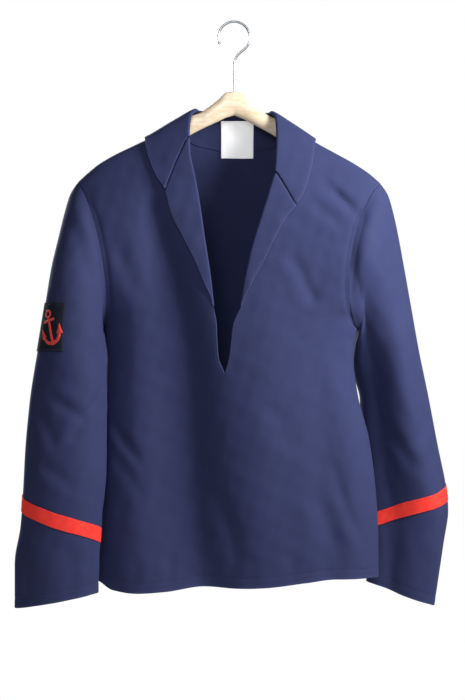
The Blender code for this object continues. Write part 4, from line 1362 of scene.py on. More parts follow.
@dataclass(frozen=True)
class StitchTree:
    """The node tree that lays threads along a line: single stitches, or satin across it."""

    name: str = "lay_threads"
    seed: int = 7
    sides: int = 6
    rings: int = 4

    def build(self) -> Tree:
        """Build the tree; a line carries its cloth's normal and the threads' reach.

        Returns:
            The node tree.
        """
        tree = bpy.data.node_groups.new(self.name, "GeometryNodeTree")
        face = tree.interface
        face.new_socket("Geometry", in_out="OUTPUT", socket_type="NodeSocketGeometry")
        face.new_socket("Line", in_out="INPUT", socket_type="NodeSocketGeometry")
        for label in ("Pitch", "Along", "Across", "Height", "Turn"):
            face.new_socket(label, in_out="INPUT", socket_type="NodeSocketFloat")
        face.new_socket("Thread", in_out="INPUT", socket_type="NodeSocketMaterial")
        given = add_node(tree, "NodeGroupInput").outputs
        add = functools.partial(made, tree)
        line = add("GeometryNodeMeshToCurve", links={"Mesh": given["Line"]})
        spaced = add("GeometryNodeResampleCurve", {"mode": "LENGTH"}, {
            "Curve": line, "Length": given["Pitch"]})
        lead = add("GeometryNodeInputNamedAttribute", {"data_type": "FLOAT_VECTOR"}, {"Name": "lead"})
        reach = add("GeometryNodeInputNamedAttribute", {"data_type": "FLOAT"}, {"Name": "reach"})
        upright = add("FunctionNodeAlignRotationToVector", {"axis": "Z"}, {"Vector": lead})
        tangent = add("GeometryNodeInputTangent")
        ahead = add("FunctionNodeAlignRotationToVector", {"axis": "X", "pivot_axis": "Z"}, {
            "Rotation": upright, "Vector": tangent})
        sway = add("FunctionNodeRandomValue", {"data_type": "FLOAT"}, {
            2: scaled(tree, given["Turn"], -1.0), 3: given["Turn"], "Seed": self.seed}, 1)
        turned = add("FunctionNodeRotateRotation", {"rotation_space": "LOCAL"}, {
            "Rotation": ahead, "Rotate By": add("ShaderNodeCombineXYZ", links={2: sway})})
        differ = add("FunctionNodeRandomValue", {"data_type": "FLOAT"}, {
            2: 0.9, 3: 1.1, "Seed": self.seed + 1}, 1)
        wide = add("ShaderNodeMath", {"operation": "MULTIPLY"}, {0: given["Across"], 1: reach})
        size = add("ShaderNodeCombineXYZ", links={0: given["Along"], 1: wide, 2: given["Height"]})
        sized = add("ShaderNodeVectorMath", {"operation": "SCALE"}, {0: size, 3: differ})
        bead = add("GeometryNodeMeshUVSphere", links={
            "Segments": self.sides, "Rings": self.rings, "Radius": 0.5})
        laid = add("GeometryNodeInstanceOnPoints", links={
            "Points": spaced, "Instance": bead, "Rotation": turned, "Scale": sized})
        real = add("GeometryNodeRealizeInstances", links={0: laid})
        soft = add("GeometryNodeSetShadeSmooth", links={0: real})
        finished = add("GeometryNodeSetMaterial", links={"Geometry": soft, "Material": given["Thread"]})
        add_node(tree, "NodeGroupOutput", links={0: finished})
        return tree


@dataclass(frozen=True)
class ThreadRun:
    """Sizes of a run of thread: pitch, length along, reach across, height and sway."""

    pitch: float
    along: float
    across: float
    height: float
    turn: float


TOPSTITCH = ThreadRun(3.4, 2.6, 0.55, 0.5, 4.0)
EDGE_STITCH = ThreadRun(2.4, 1.9, 0.5, 0.45, 5.0)
SATIN = ThreadRun(0.56, 0.74, 1.0, 0.7, 3.0)


@dataclass(frozen=True)
class Making:
    """What a piece is cut from and sewn with: its name's ending, finish and slot, and the thread's."""

    ending: str
    finish: str
    slot: str
    run: ThreadRun
    thread: str
    thread_slot: str


IN_GABARDINE = Making("_cloth", "gabardine", "gabardine", TOPSTITCH, "navy_thread", "gabardine")
IN_BRAID = Making("_braid", "red_braid", "red_tape", EDGE_STITCH, "red_thread", "red_thread")
IN_FELT = Making("_felt", "badge_felt", "patch_cloth", EDGE_STITCH, "navy_thread", "patch_cloth")
IN_COTTON = Making("_cotton", "label_cotton", "label_tape", EDGE_STITCH, "white_thread", "label_tape")


@dataclass
class Sewing:
    """The lines of thread on one piece, laid by the node tree."""

    tree: Tree
    lines: list[tuple[Array, Array, Array]] = field(default_factory=list)

    def line(self, points: Array, leads: Array, reach: Any = 1.0) -> None:
        """Add a line: its points, the cloth's normals there and the threads' reach."""
        self.lines.append((points, leads, np.broadcast_to(reach, len(points)).astype(float)))

    def sew(self, name: str, run: ThreadRun, thread: Material, slot: str) -> Thing:
        """Lay the threads along every line and make them one plain mesh.

        Args:
            name: the piece's name.
            run: the threads' sizes.
            thread: their material.
            slot: the record's material slot.

        Returns:
            The finished piece.
        """
        points = np.concatenate([line[0] for line in self.lines]) * MM
        edges = []
        start = 0
        for line, _, _ in self.lines:
            edges += [(start + i, start + i + 1) for i in range(len(line) - 1)]
            start += len(line)
        mesh = bpy.data.meshes.new(name)
        mesh.from_pydata(points.tolist(), edges, [])
        leads = np.concatenate([line[1] for line in self.lines]).astype(np.float32)
        mesh.attributes.new("lead", "FLOAT_VECTOR", "POINT").data.foreach_set("vector", leads.ravel())
        reach = np.concatenate([line[2] for line in self.lines]).astype(np.float32)
        mesh.attributes.new("reach", "FLOAT", "POINT").data.foreach_set("value", reach)
        guide = linked(name + "_line", mesh)
        modifier = guide.modifiers.new("threads", "NODES")
        modifier.node_group = self.tree
        values = {"Pitch": run.pitch * MM, "Along": run.along * MM, "Across": run.across * MM,
                  "Height": run.height * MM, "Turn": math.radians(run.turn), "Thread": thread}
        for item in self.tree.interface.items_tree:
            if item.in_out == "INPUT" and item.name in values:
                modifier[item.identifier] = values[item.name]
        threads = finished_mesh(guide)
        if not threads.materials:
            threads.materials.append(thread)
        return hand_over(name, threads, slot)


def linked(name: str, data: Any) -> Thing:
    """Return a new object of a mesh, curve, light or camera, in the scene.

    Args:
        name: the object's name.
        data: what it shows.

    Returns:
        The object.
    """
    thing = bpy.data.objects.new(name, data)
    bpy.context.scene.collection.objects.link(thing)
    return thing


def finished_mesh(guide: Thing) -> Mesh:
    """Turn an object into one plain mesh and delete the object.

    Args:
        guide: an object with modifiers or a curve.

    Returns:
        The mesh.
    """
    graph = bpy.context.evaluated_depsgraph_get()
    mesh = bpy.data.meshes.new_from_object(guide.evaluated_get(graph), depsgraph=graph)
    bpy.data.objects.remove(guide)
    return mesh


def hand_over(name: str, mesh: Mesh, slot: str, material: Material | None = None,
              replaces: Iterable[str] = ()) -> Thing:
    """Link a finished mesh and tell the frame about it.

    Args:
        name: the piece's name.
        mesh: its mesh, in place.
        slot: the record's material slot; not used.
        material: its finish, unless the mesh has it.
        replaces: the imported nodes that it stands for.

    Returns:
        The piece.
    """
    mesh.name = name
    piece = linked(name, mesh)
    if material is not None:
        mesh.materials.append(material)
    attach(piece, "root")
    for node in replaces:
        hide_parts(node)
    area = sum(face.area for face in mesh.polygons)
    LOG.info("%s: %d faces, %.4f square metres on both sides", name, len(mesh.polygons), area)
    return piece


@dataclass
class Workshop:
    """What every piece is made from: forms, finishes and the sewing tree."""

    body: SmockForm
    neck: NeckForm
    sleeves: dict[Hand, SleeveForm]
    materials: dict[str, Material]
    tree: Tree
    cloth: float = 1.6
    folded_cloth: float = 2.0
    trim: float = 1.0
    seam_gap: float = 0.12
    roll_reach: float = 1.8
    roll_depth: float = 1.1
    dip_reach: float = 9.0
    dip_depth: float = 3.0
    hem: float = 14.0
    hem_rise: float = 0.2
    groove_width: float = 1.6
    band_fade: float = 5.0
    wear_reach: float = 2.2
    edge_bulge: float = 0.5
    folded_bulge: float = 0.7
    folded_roll: float = 0.6
    trim_bulge: float = 0.3
    folded_inset: float = 5.0
    thread_lift: float = 0.1

    def seam_roll(self, run: Array) -> Array:
        """Return how far cloth dips beside a seam, at distances from it."""
        share = np.clip(1 - run / self.roll_reach, 0, 1)
        return self.roll_depth * (1 - np.sqrt(1 - share * share))

    def seam_dip(self, run: Array) -> Array:
        """Return how far cloth sinks towards a set-in sleeve's seam, at distances from it."""
        return self.dip_depth * np.exp(-(run / self.dip_reach) ** 2)

    def hem_relief(self, run: Array) -> Array:
        """Return how a stitched turn-up shapes the cloth, at distances from its edge.

        Args:
            run: distances from the edge.

        Returns:
            The rise at each.
        """
        groove = -self.hem_rise * np.exp(-((run - self.hem) / self.groove_width) ** 2)
        band = self.hem_rise * ease((self.hem - run) / self.band_fade)
        return groove + band

    def hem_wear(self, run: Array) -> Array:
        """Return how rubbed the cloth is, at distances from a free edge."""
        return np.exp(-run / self.wear_reach)

    def lead_blend(self, normals: Array, lead: Array, run: Array, reach: float = 6.0) -> Array:
        """Turn normals to a lead beside a seam, at distances from it."""
        share = ease(run / reach)[..., None]
        return unit(normals * share + lead * (1 - share))

    def make(self, node: str, making: Making, wall: ClothWall,
             lines: Iterable[tuple[Array, Array]]) -> tuple[Thing, Thing]:
        """Make a piece and sew it.

        Args:
            node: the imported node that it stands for.
            making: what it is made of.
            wall: its cloth.
            lines: the points and normals of each line of thread.

        Returns:
            The cloth and its threads.
        """
        piece = hand_over(node + making.ending, wall.mesh(), making.slot, self.materials[making.finish],
                          [node])
        sewing = Sewing(self.tree)
        for points, leads in lines:
            sewing.line(points, leads)
        threads = sewing.sew(node + "_stitches", making.run, self.materials[making.thread],
                             making.thread_slot)
        return piece, threads

    def make_folded(self, node: str, grid: Array, normals: Array, seam_run: Array, grain: Array,
                    sewn: int | None = None) -> tuple[Thing, Thing]:
        """Make a piece of folded cloth that is free along its inner border, and sew along that.

        Args:
            node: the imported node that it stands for.
            grid: the sheet through the middle of its wall.
            normals: a normal for each point.
            seam_run: each point's distance from a gorge seam.
            grain: the cloth map.
            sewn: the row where the thread ends, from the last one back.

        Returns:
            The cloth and its threads.
        """
        edge_run = run_from(grid, Border.INNER)
        thick = self.folded_cloth / 2 - self.folded_roll * self.seam_roll(seam_run)
        bulge = np.where(edge_run < ON_BORDER, self.folded_bulge, 0.0)
        wall = ClothWall().add(grid, normals, thick, thick, grain, bulge, self.hem_wear(edge_run))
        face = grid + normals * thick[..., None]
        line = inset_line(face[:sewn], normals[:sewn], Border.INNER, self.folded_inset, self.thread_lift)
        return self.make(node, IN_GABARDINE, wall, [line])

    def make_trim(self, node: str, making: Making, grid: Array, normals: Array, borders: Iterable[Border],
                  inset: float, lift: float, groove: Any = 0.0,
                  wear: Any = 0.0) -> tuple[Thing, Thing]:
        """Make a tape, patch or label and sew it down.

        Args:
            node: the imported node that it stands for.
            making: what it is made of.
            grid: the sheet through the middle of its wall.
            normals: a normal for each point.
            borders: the borders that are sewn.
            inset: the thread's distance from them.
            lift: how far the thread stands off the face.
            groove: how far the face is pressed in, negative.
            wear: how rubbed it is.

        Returns:
            The cloth and its threads.
        """
        half = self.trim / 2
        wall = ClothWall().add(grid, normals, half + groove, half, cloth_map(grid), self.trim_bulge, wear)
        face = grid + normals * half
        return self.make(node, making, wall,
                         [inset_line(face, normals, border, inset, lift) for border in borders])


@dataclass
class PanelHalf:
    """A dressed half of a panel; in its whole rows it reaches the line down the middle."""

    points: Array
    normals: Array
    lift: Array
    hem_run: Array
    whole: Array
    rows: Array


@dataclass
class Panel:
    """The front or the back, in two halves that join down the middle."""

    shop: Workshop
    side: Side
    arm_rows: int = 12
    hem_rows: int = 9
    underarm: tuple[float, ...] = (-466.0, -475.0, -492.0, -520.0)
    slit_rows: tuple[float, ...] = (-455.0, -480.0, -505.0, -530.0)
    centre_foot_x: float = -4.0
    arm_row: float = 19.0
    underarm_row: tuple[float, ...] = (7.0, 9.0, 17.0, 28.0)
    foot_row: float = 35.5
    shoulder_rows: tuple[float, ...] = (0.02, 0.05, 0.1)
    back_neck_rows: int = 5
    half_chest: float = 235.0
    lapel_tuck: float = 0.3
    step: float = 3.8
    drape_fade: float = 60.0
    slit_inset: float = 4.5
    corner_z: float = -840.0
    columns: int = 58
    slit: dict[Hand, tuple[tuple[float, float], ...]] = field(default_factory=lambda: {
        Hand.RIGHT: ((-27, -430), (-25.8, -469), (-22.8, -510), (-13.5, -530)),
        Hand.LEFT: ((7.0, -430), (-0.6, -454), (-5, -489.6), (-9.5, -519), (-13.5, -530))})
    hem_line: tuple[tuple[float, float], ...] = (
        (-230, -836), (-205, -839), (-181, -851), (-148, -854.5), (-103, -852), (-43, -844.5),
        (2, -846), (46, -844.5), (106, -838), (150, -834), (201, -834), (235, -837))

    def hem_height(self, x: Any) -> Array:
        """Return the height of the body's lower edge at x."""
        line = np.array(self.hem_line)
        return smooth(x, line[:, 0], line[:, 1])

    def outer_edge(self, hand: Hand, rows: Array) -> Array:
        """Return the outer edge as x, z points at rows counted from the shoulder seam.

        Args:
            hand: the wearer's hand that the edge is on.
            rows: row places.

        Returns:
            A point for each row.
        """
        body = self.shop.body
        degrees = np.clip(rows / self.arm_rows, 0, 1) * 180.0
        points = self.shop.sleeves[hand].armhole(degrees)[:, [0, 2]]
        corner = float(self.hem_height(hand.value * float(body.half_width(hand.value, self.corner_z))))
        heights = [self.shop.sleeves[hand].under_z, *self.underarm]
        heights += list(np.linspace(self.underarm[-1], corner, self.hem_rows + 1)[1:])
        below = rows > self.arm_rows
        z = np.interp(rows[below], self.arm_rows + np.arange(len(heights)), heights)
        points[below] = np.stack([hand.value * body.half_width(hand.value, z), z], axis=-1)
        return points

    def inner_edge(self, hand: Hand, rows: Array) -> Array:
        """Return the inner edge as x, z points: neck, slit and centre line.

        Args:
            hand: the wearer's hand that the edge is on.
            rows: row places.

        Returns:
            A point for each row.
        """
        points = self.shop.neck.neck_edge(hand, self.side)
        last_shaped = self.arm_rows + len(self.slit_rows)
        if self.side is Side.FRONT:
            count = self.arm_rows - self.shop.neck.ridge_station + 1
            _, middle, _, over, _ = self.shop.neck.lapel_folds(hand, count)
            turned = middle[1:] + over[1:] * self.lapel_tuck
            points += [(float(p[0]), float(p[2])) for p in turned]
            slit = np.array(self.slit[hand])
            points += [(float(smooth(z, slit[:, 1], slit[:, 0])), z) for z in self.slit_rows]
            foot_x = self.centre_foot_x
            bend = last_shaped
        else:
            bend = len(points) - 1
            start_z = points[-1][1]
            for share in np.linspace(0, 1, last_shaped - bend + 1)[1:]:
                points.append((0.0, start_z + (self.slit_rows[-1] - start_z) * share))
            foot_x = 0.0
        top = np.array(points[-1])
        foot = np.array([foot_x, float(self.hem_height(foot_x))])
        shares = np.linspace(0, 1, self.hem_rows + 1)[1:]
        points += [tuple(top + (foot - top) * share) for share in shares]
        knots = np.array(points)
        shaped = smooth(rows, np.arange(bend + 1), knots[:bend + 1])
        straight = np.stack([np.interp(rows, np.arange(len(knots)), knots[:, i]) for i in (0, 1)], -1)
        return np.where((rows <= bend)[:, None], shaped, straight)

    def row_places(self) -> Array:
        """Return the rows, close together at the shoulder seam and at the hem.

        Returns:
            The row places, rising.
        """
        lengths = [self.arm_row] * self.arm_rows + [*self.underarm_row] + [self.foot_row] * self.hem_rows
        places: list[float] = []
        for row, length in enumerate(lengths):
            places += list(np.linspace(row, row + 1, math.ceil(length / self.step), endpoint=False))
        turned = [len(lengths) - inset / self.foot_row for inset in HEM_ROWS]
        return np.unique(np.round(np.array([*places, *self.shoulder_rows, *turned]), 5))

    def half(self, hand: Hand) -> tuple[Array, Array]:
        """Lay out one half.

        Args:
            hand: the wearer's hand that the half is on.

        Returns:
            The grid of points, from the outer to the inner edge, and the row places.
        """
        body, hand_sign = self.shop.body, hand.value
        rows = self.row_places()
        outer = self.outer_edge(hand, rows)
        inner = self.inner_edge(hand, rows)
        fine = np.array([0.0, *SEAM_ROWS, 3.0]) / self.half_chest
        even = np.linspace(fine[-1], 1 - fine[-1], self.columns)[1:-1]
        turn = np.concatenate([fine, even, 1 - fine[::-1]])
        out_x, out_z = outer[:, :1], outer[:, 1:]
        in_x, in_z = inner[:, :1], inner[:, 1:]
        reach = np.minimum(np.abs(out_x) / body.half_width(hand_sign, out_z), 1.0)
        start = np.arccos(reach)
        share = np.cos(start + (math.pi / 2 - start) * turn) / np.maximum(np.cos(start), 1e-6)
        share[:, 0] = 1.0
        share[:, -1] = 0.0
        x = in_x + (out_x - in_x) * share
        flat_z = in_z + (out_z - in_z) * share
        in_drop = body.ridge_height(in_x) - in_z
        out_drop = body.ridge_height(out_x) - out_z
        draped = body.ridge_height(x) - (in_drop + (out_drop - in_drop) * share)
        near = np.exp(-np.maximum(out_drop, in_drop) / self.drape_fade)
        z = flat_z + (draped - flat_z) * near
        hem_start = self.arm_rows + len(self.underarm)
        part = np.clip((rows - hem_start) / self.hem_rows, 0, 1)[:, None]
        level = self.hem_height(x) - (in_z[-1] + (out_z[-1] - in_z[-1]) * share)
        z = np.where(part > 0, flat_z + level * part, z)
        z[0] = body.ridge_height(x[0])
        points = body.on_side(x, z, self.side)
        points[0, :, 1] = 0.0
        points[rows >= self.arm_rows, 0, 1] = 0.0
        return points, rows

    def dressed(self, hand: Hand) -> PanelHalf:
        """Give one half its normals, seams and hem.

        Args:
            hand: the wearer's hand that the half is on.

        Returns:
            The half.
        """
        shop = self.shop
        points, rows = self.half(hand)
        at_arm = rows <= self.arm_rows
        normals = grid_normals(points, np.array([0.0, self.side.value, 0.0]))
        if self.side is Side.BACK:
            whole = rows >= self.back_neck_rows
        else:
            whole = rows >= self.arm_rows + len(self.slit_rows)
        points[..., 1] += self.side.value * shop.seam_gap / 2
        points[at_arm, 0, 0] -= hand.value * shop.seam_gap / 2
        lead = np.tile(np.array([float(hand.value), 0.0, 0.0]), (len(rows), 1))
        degrees = -self.side.value * np.clip(rows / self.arm_rows, 0, 1) * 180.0
        lead[at_arm] = shop.sleeves[hand].lead(degrees[at_arm])
        side_run = run_from(points, Border.OUTER)
        top_run = run_from(points, Border.TOP)
        hem_run = run_from(points, Border.FOOT)
        ridge_x = points[0, :, 0]
        slope = (shop.body.ridge_height(ridge_x + 1) - shop.body.ridge_height(ridge_x - 1)) / 2
        ridge = unit(np.stack([-slope, 0 * slope, 1 + 0 * slope], axis=-1))
        normals = shop.lead_blend(normals, ridge[None], top_run)
        normals = shop.lead_blend(normals, lead[:, None], side_run)
        lift = -shop.seam_roll(side_run) - shop.seam_roll(top_run) + shop.hem_relief(hem_run)
        low = ease((rows - 1.5) / 3) * ease((self.arm_rows + 1 - rows) / 2)
        lift = lift - shop.seam_dip(side_run) * low[:, None]
        return PanelHalf(points, normals, lift, hem_run, whole, rows)

    def build(self) -> None:
        """Make the panel and sew its hem and slit."""
        shop = self.shop
        halves = {hand: self.dressed(hand) for hand in Hand}
        whole = halves[Hand.RIGHT].whole
        shared = unit(sum(half.normals[whole, -1] for half in halves.values()))
        wall = ClothWall()
        lines = []
        for hand, half in halves.items():
            points, normals = half.points, half.normals
            normals[whole, -1] = shared
            inner_run = run_from(points, Border.INNER)
            grain = np.stack([hand.value * inner_run, points[..., 2]], axis=-1)
            wear = shop.hem_wear(half.hem_run)
            bulge = np.where(half.hem_run < ON_BORDER, shop.edge_bulge, 0.0)
            free = (half.rows > self.arm_rows) & ~whole
            if self.side is Side.FRONT:
                wear[free] = np.maximum(wear[free], shop.hem_wear(inner_run[free]))
            bulge[free, -1] = shop.edge_bulge if self.side is Side.FRONT else 0.0
            wall.add(points, normals, half.lift, shop.cloth, grain, bulge, wear)
            outer = points + normals * half.lift[..., None]
            lines.append(inset_line(outer, normals, Border.FOOT, shop.hem, shop.thread_lift))
            if self.side is Side.FRONT:
                edge = np.flatnonzero(half.rows > self.arm_rows - 0.5)
                edge = edge[half.rows[edge] < self.arm_rows + len(self.slit_rows) - 0.3]
                lines.append(inset_line(outer[edge], normals[edge], Border.INNER, self.slit_inset,
                                        shop.thread_lift))
        panel, threads = shop.make(self.side.name.lower(), IN_GABARDINE, wall, lines)


@dataclass
class Sleeve:
    """One sleeve: a tube from the armhole seam to the cuff's turned hem."""

    shop: Workshop
    hand: Hand
    columns: int = 100
    step: float = 4.0
    dip_half: float = 60.0
    dip_fade: float = 40.0

    def places(self) -> Array:
        """Return the rows, counted in rings, close together at the seam and at the cuff.

        Returns:
            The places, rising.
        """
        form = self.shop.sleeves[self.hand]
        middle = form.ring_points(np.array([90.0]))[:, 0]
        lengths = np.linalg.norm(np.diff(middle, axis=0), axis=1)
        places: list[float] = []
        for row, length in enumerate(lengths):
            count = max(2, math.ceil(length / self.step))
            places += list(np.linspace(row, row + 1, count, endpoint=False))
        places += [float(inset / lengths[0]) for inset in SEAM_ROWS]
        places += [len(lengths) - float(inset / lengths[-1]) for inset in HEM_ROWS]
        return np.unique(np.round(np.array(places), 5))

    def build(self) -> None:
        """Make the sleeve and sew its cuff."""
        shop, form = self.shop, self.shop.sleeves[self.hand]
        degrees = np.linspace(0, 360, self.columns + 1)
        places = self.places()
        grid = np.array([form.point(degrees, np.full(len(degrees), place)) for place in places])
        grid[:, -1] = grid[:, 0]
        centre = grid[:, :-1].mean(axis=1, keepdims=True)
        normals = grid_normals(grid, grid - centre, wrap=True)
        top_run = run_from(grid, Border.TOP)
        cuff_run = run_from(grid, Border.FOOT)
        grid[0, :, 0] += self.hand.value * shop.seam_gap / 2
        normals = shop.lead_blend(normals, form.lead(degrees)[None], top_run)
        low = ease((self.dip_half - np.abs(np.mod(degrees, 180) - 90)) / self.dip_fade)
        lift = -shop.seam_roll(top_run) + shop.hem_relief(cuff_run) - shop.seam_dip(top_run) * low
        grain = np.stack([run_from(grid, Border.OUTER), -top_run], axis=-1)
        bulge = np.where(cuff_run < ON_BORDER, shop.edge_bulge, 0.0)
        wall = ClothWall().add(grid, normals, lift, shop.cloth, grain, bulge, shop.hem_wear(cuff_run))
        outer = grid + normals * lift[..., None]
        hem = inset_line(outer, normals, Border.FOOT, shop.hem, shop.thread_lift)
        piece, threads = shop.make(self.hand.node("sleeve"), IN_GABARDINE, wall, [hem])


@dataclass
class Collar:
    """The folded collar: a stand inside the neck and a fall over the shoulders."""

    shop: Workshop
    steps: int = 9
    stand: tuple[float, ...] = (0, 0.02, 0.1, 0.25, 0.4, 0.55, 0.7, 0.85, 1)
    turn_step: float = 15.0
    fall: int = 20

    def grid(self) -> Array:
        """Return the sheet through the middle of the collar's wall, from gorge to gorge.

        Returns:
            Rows and columns of points.
        """
        neck, body = self.shop.neck, self.shop.body
        rows = neck.collar_rows(self.steps)
        seam, roll, edge = rows[:, 0], rows[:, 1], rows[:, 2]
        line = body.point(roll[:, 0], roll[:, 1])
        crease = unit(np.gradient(line, axis=0))
        heading = body.point(edge[:, 0], edge[:, 1]) - line
        middle, normal, over = neck.turned(roll, heading, crease)
        reach = np.linalg.norm(body.point(seam[:, 0], seam[:, 1]) - line, axis=1)
        end = np.maximum(1 - 1.5 * neck.fold_reach / reach, 0.2)
        shares = np.array(self.stand)
        places = seam[:, None] + (roll - seam)[:, None] * (end[:, None] * shares)[..., None]
        stand = body.lifted(places[..., 0], places[..., 1], np.full(places.shape[:2], -1.0))
        turns = np.radians(np.arange(0, 181, self.turn_step))
        shares = np.concatenate([np.linspace(0, 0.97, self.fall)[1:], [0.985, 0.995, 1.0]])
        grid = np.concatenate([stand, neck.fold_points(middle, normal, over, turns),
                               neck.fall_points(middle, edge, shares)], axis=1)
        grid[0] += gorge_step(grid[0], crease[0], self.shop.seam_gap)
        grid[-1] += gorge_step(grid[-1], -crease[-1], self.shop.seam_gap)
        return grid

    def build(self) -> None:
        """Make the collar and sew along its free edge."""
        shop = self.shop
        grid = self.grid()
        normals = grid_normals(grid, np.zeros(3))
        edge = shop.neck.collar_rows(self.steps)[:, 2]
        outside = shop.body.normal(edge[:, 0], edge[:, 1])
        if np.sum(normals[:, -3] * outside) < 0:
            normals = -normals
        gorge_run = np.minimum(run_from(grid, Border.TOP), run_from(grid, Border.FOOT))
        piece, threads = shop.make_folded("collar", grid, normals, gorge_run, cloth_map(grid)[..., ::-1])


def gorge_step(row: Array, crease: Array, gap: float) -> Array:
    """Return the step away from the gorge seam that leaves half its gap."""
    run = unit(row[-1] - row[0])
    return unit(crease - (crease @ run) * run) * gap / 2


@dataclass
class Lapel:
    """The turned-out edge of the front, below the gorge seam on one side."""

    shop: Workshop
    hand: Hand
    rows: int = 76
    turn_step: float = 15.0
    fall: int = 14
    sewn: int = -6
    slim_from: float = 0.8
    slim: float = 0.78

    def build(self) -> None:
        """Make the lapel and sew along its free edge."""
        shop, neck = self.shop, self.shop.neck
        edge, middle, normal, over, crease = neck.lapel_folds(self.hand, self.rows)
        turns = np.radians(np.arange(0, 181, self.turn_step))
        shares = np.concatenate([np.linspace(0, 0.96, self.fall)[1:], [0.98, 0.993, 1.0]])
        grid = np.concatenate([neck.fold_points(middle, normal, over, turns),
                               neck.fall_points(middle, edge, shares)], axis=1)
        grid[0] += gorge_step(grid[0], crease[0], shop.seam_gap)
        slim = self.slim * ease((np.linspace(0, 1, self.rows) - self.slim_from) / (1 - self.slim_from))
        foot = middle - normal
        grid = foot[:, None] + (grid - foot[:, None]) * (1 - slim)[:, None, None]
        normals = grid_normals(grid, np.zeros(3))
        if np.sum(normals[:, -3] * normal) < 0:
            normals = -normals
        piece, threads = shop.make_folded(self.hand.node("lapel"), grid, normals,
                                          run_from(grid, Border.TOP), cloth_map(grid) * (1, -1), self.sewn)


@dataclass(frozen=True)
class TapeStop:
    """The height of a tape's middle line at an angle round the sleeve."""

    degrees: float
    z: float


@dataclass
class CuffTape:
    """The slanting red braid on one sleeve."""

    shop: Workshop
    hand: Hand
    width: float = 21.0
    lift: float = 0.75
    stitch_inset: float = 1.6
    groove: float = 0.22
    groove_width: float = 0.9
    ripples: tuple[tuple[float, float, float], ...] = ((0.35, 5.0, 0.0), (0.2, 11.0, 1.0))
    stops: dict[Hand, tuple[TapeStop, ...]] = field(default_factory=lambda: {
        Hand.RIGHT: table(TapeStop, (-75, -697), (0, -719), (45, -730), (90, -745), (135, -758),
                          (180, -768)),
        Hand.LEFT: table(TapeStop, (-75, -690), (0, -712), (45, -722), (90, -736), (135, -750),
                         (180, -762))})

    def build(self) -> None:
        """Lay the tape on the sleeve and sew both its edges."""
        shop, stops = self.shop, self.stops[self.hand]
        degrees = np.arange(stops[0].degrees, stops[-1].degrees + 1, 2.5)
        middle = smooth(degrees, column(stops, "degrees"), column(stops, "z"))
        half = np.array([0.5, 0.485, 0.44, 0.36, 0.24, 0.12, 0])
        shares = np.concatenate([half, -half[-2::-1]])
        turn = np.radians(degrees)
        ripple = sum(rise * np.sin(turn * count + phase) for rise, count, phase in self.ripples)
        height = middle + (self.width + ripple) * shares[:, None]
        off_thread = np.abs(shares) * self.width - self.width / 2 + self.stitch_inset
        sunk = self.groove * np.exp(-(off_thread / self.groove_width) ** 2)
        grid = shop.sleeves[self.hand].grid(degrees[None], height, self.lift - sunk[:, None])
        normals = grid_normals(grid, grid - grid.mean(axis=(0, 1)))
        piece, threads = shop.make_trim(self.hand.node("cuff_tape"), IN_BRAID, grid, normals,
                                        (Border.TOP, Border.FOOT), self.stitch_inset, 0.05)
        self.hand.node("sleeve")


@dataclass(frozen=True)
class Stroke:
    """One stroke of the embroidered anchor: its line and the half widths along it."""

    line: Array
    half_width: Array


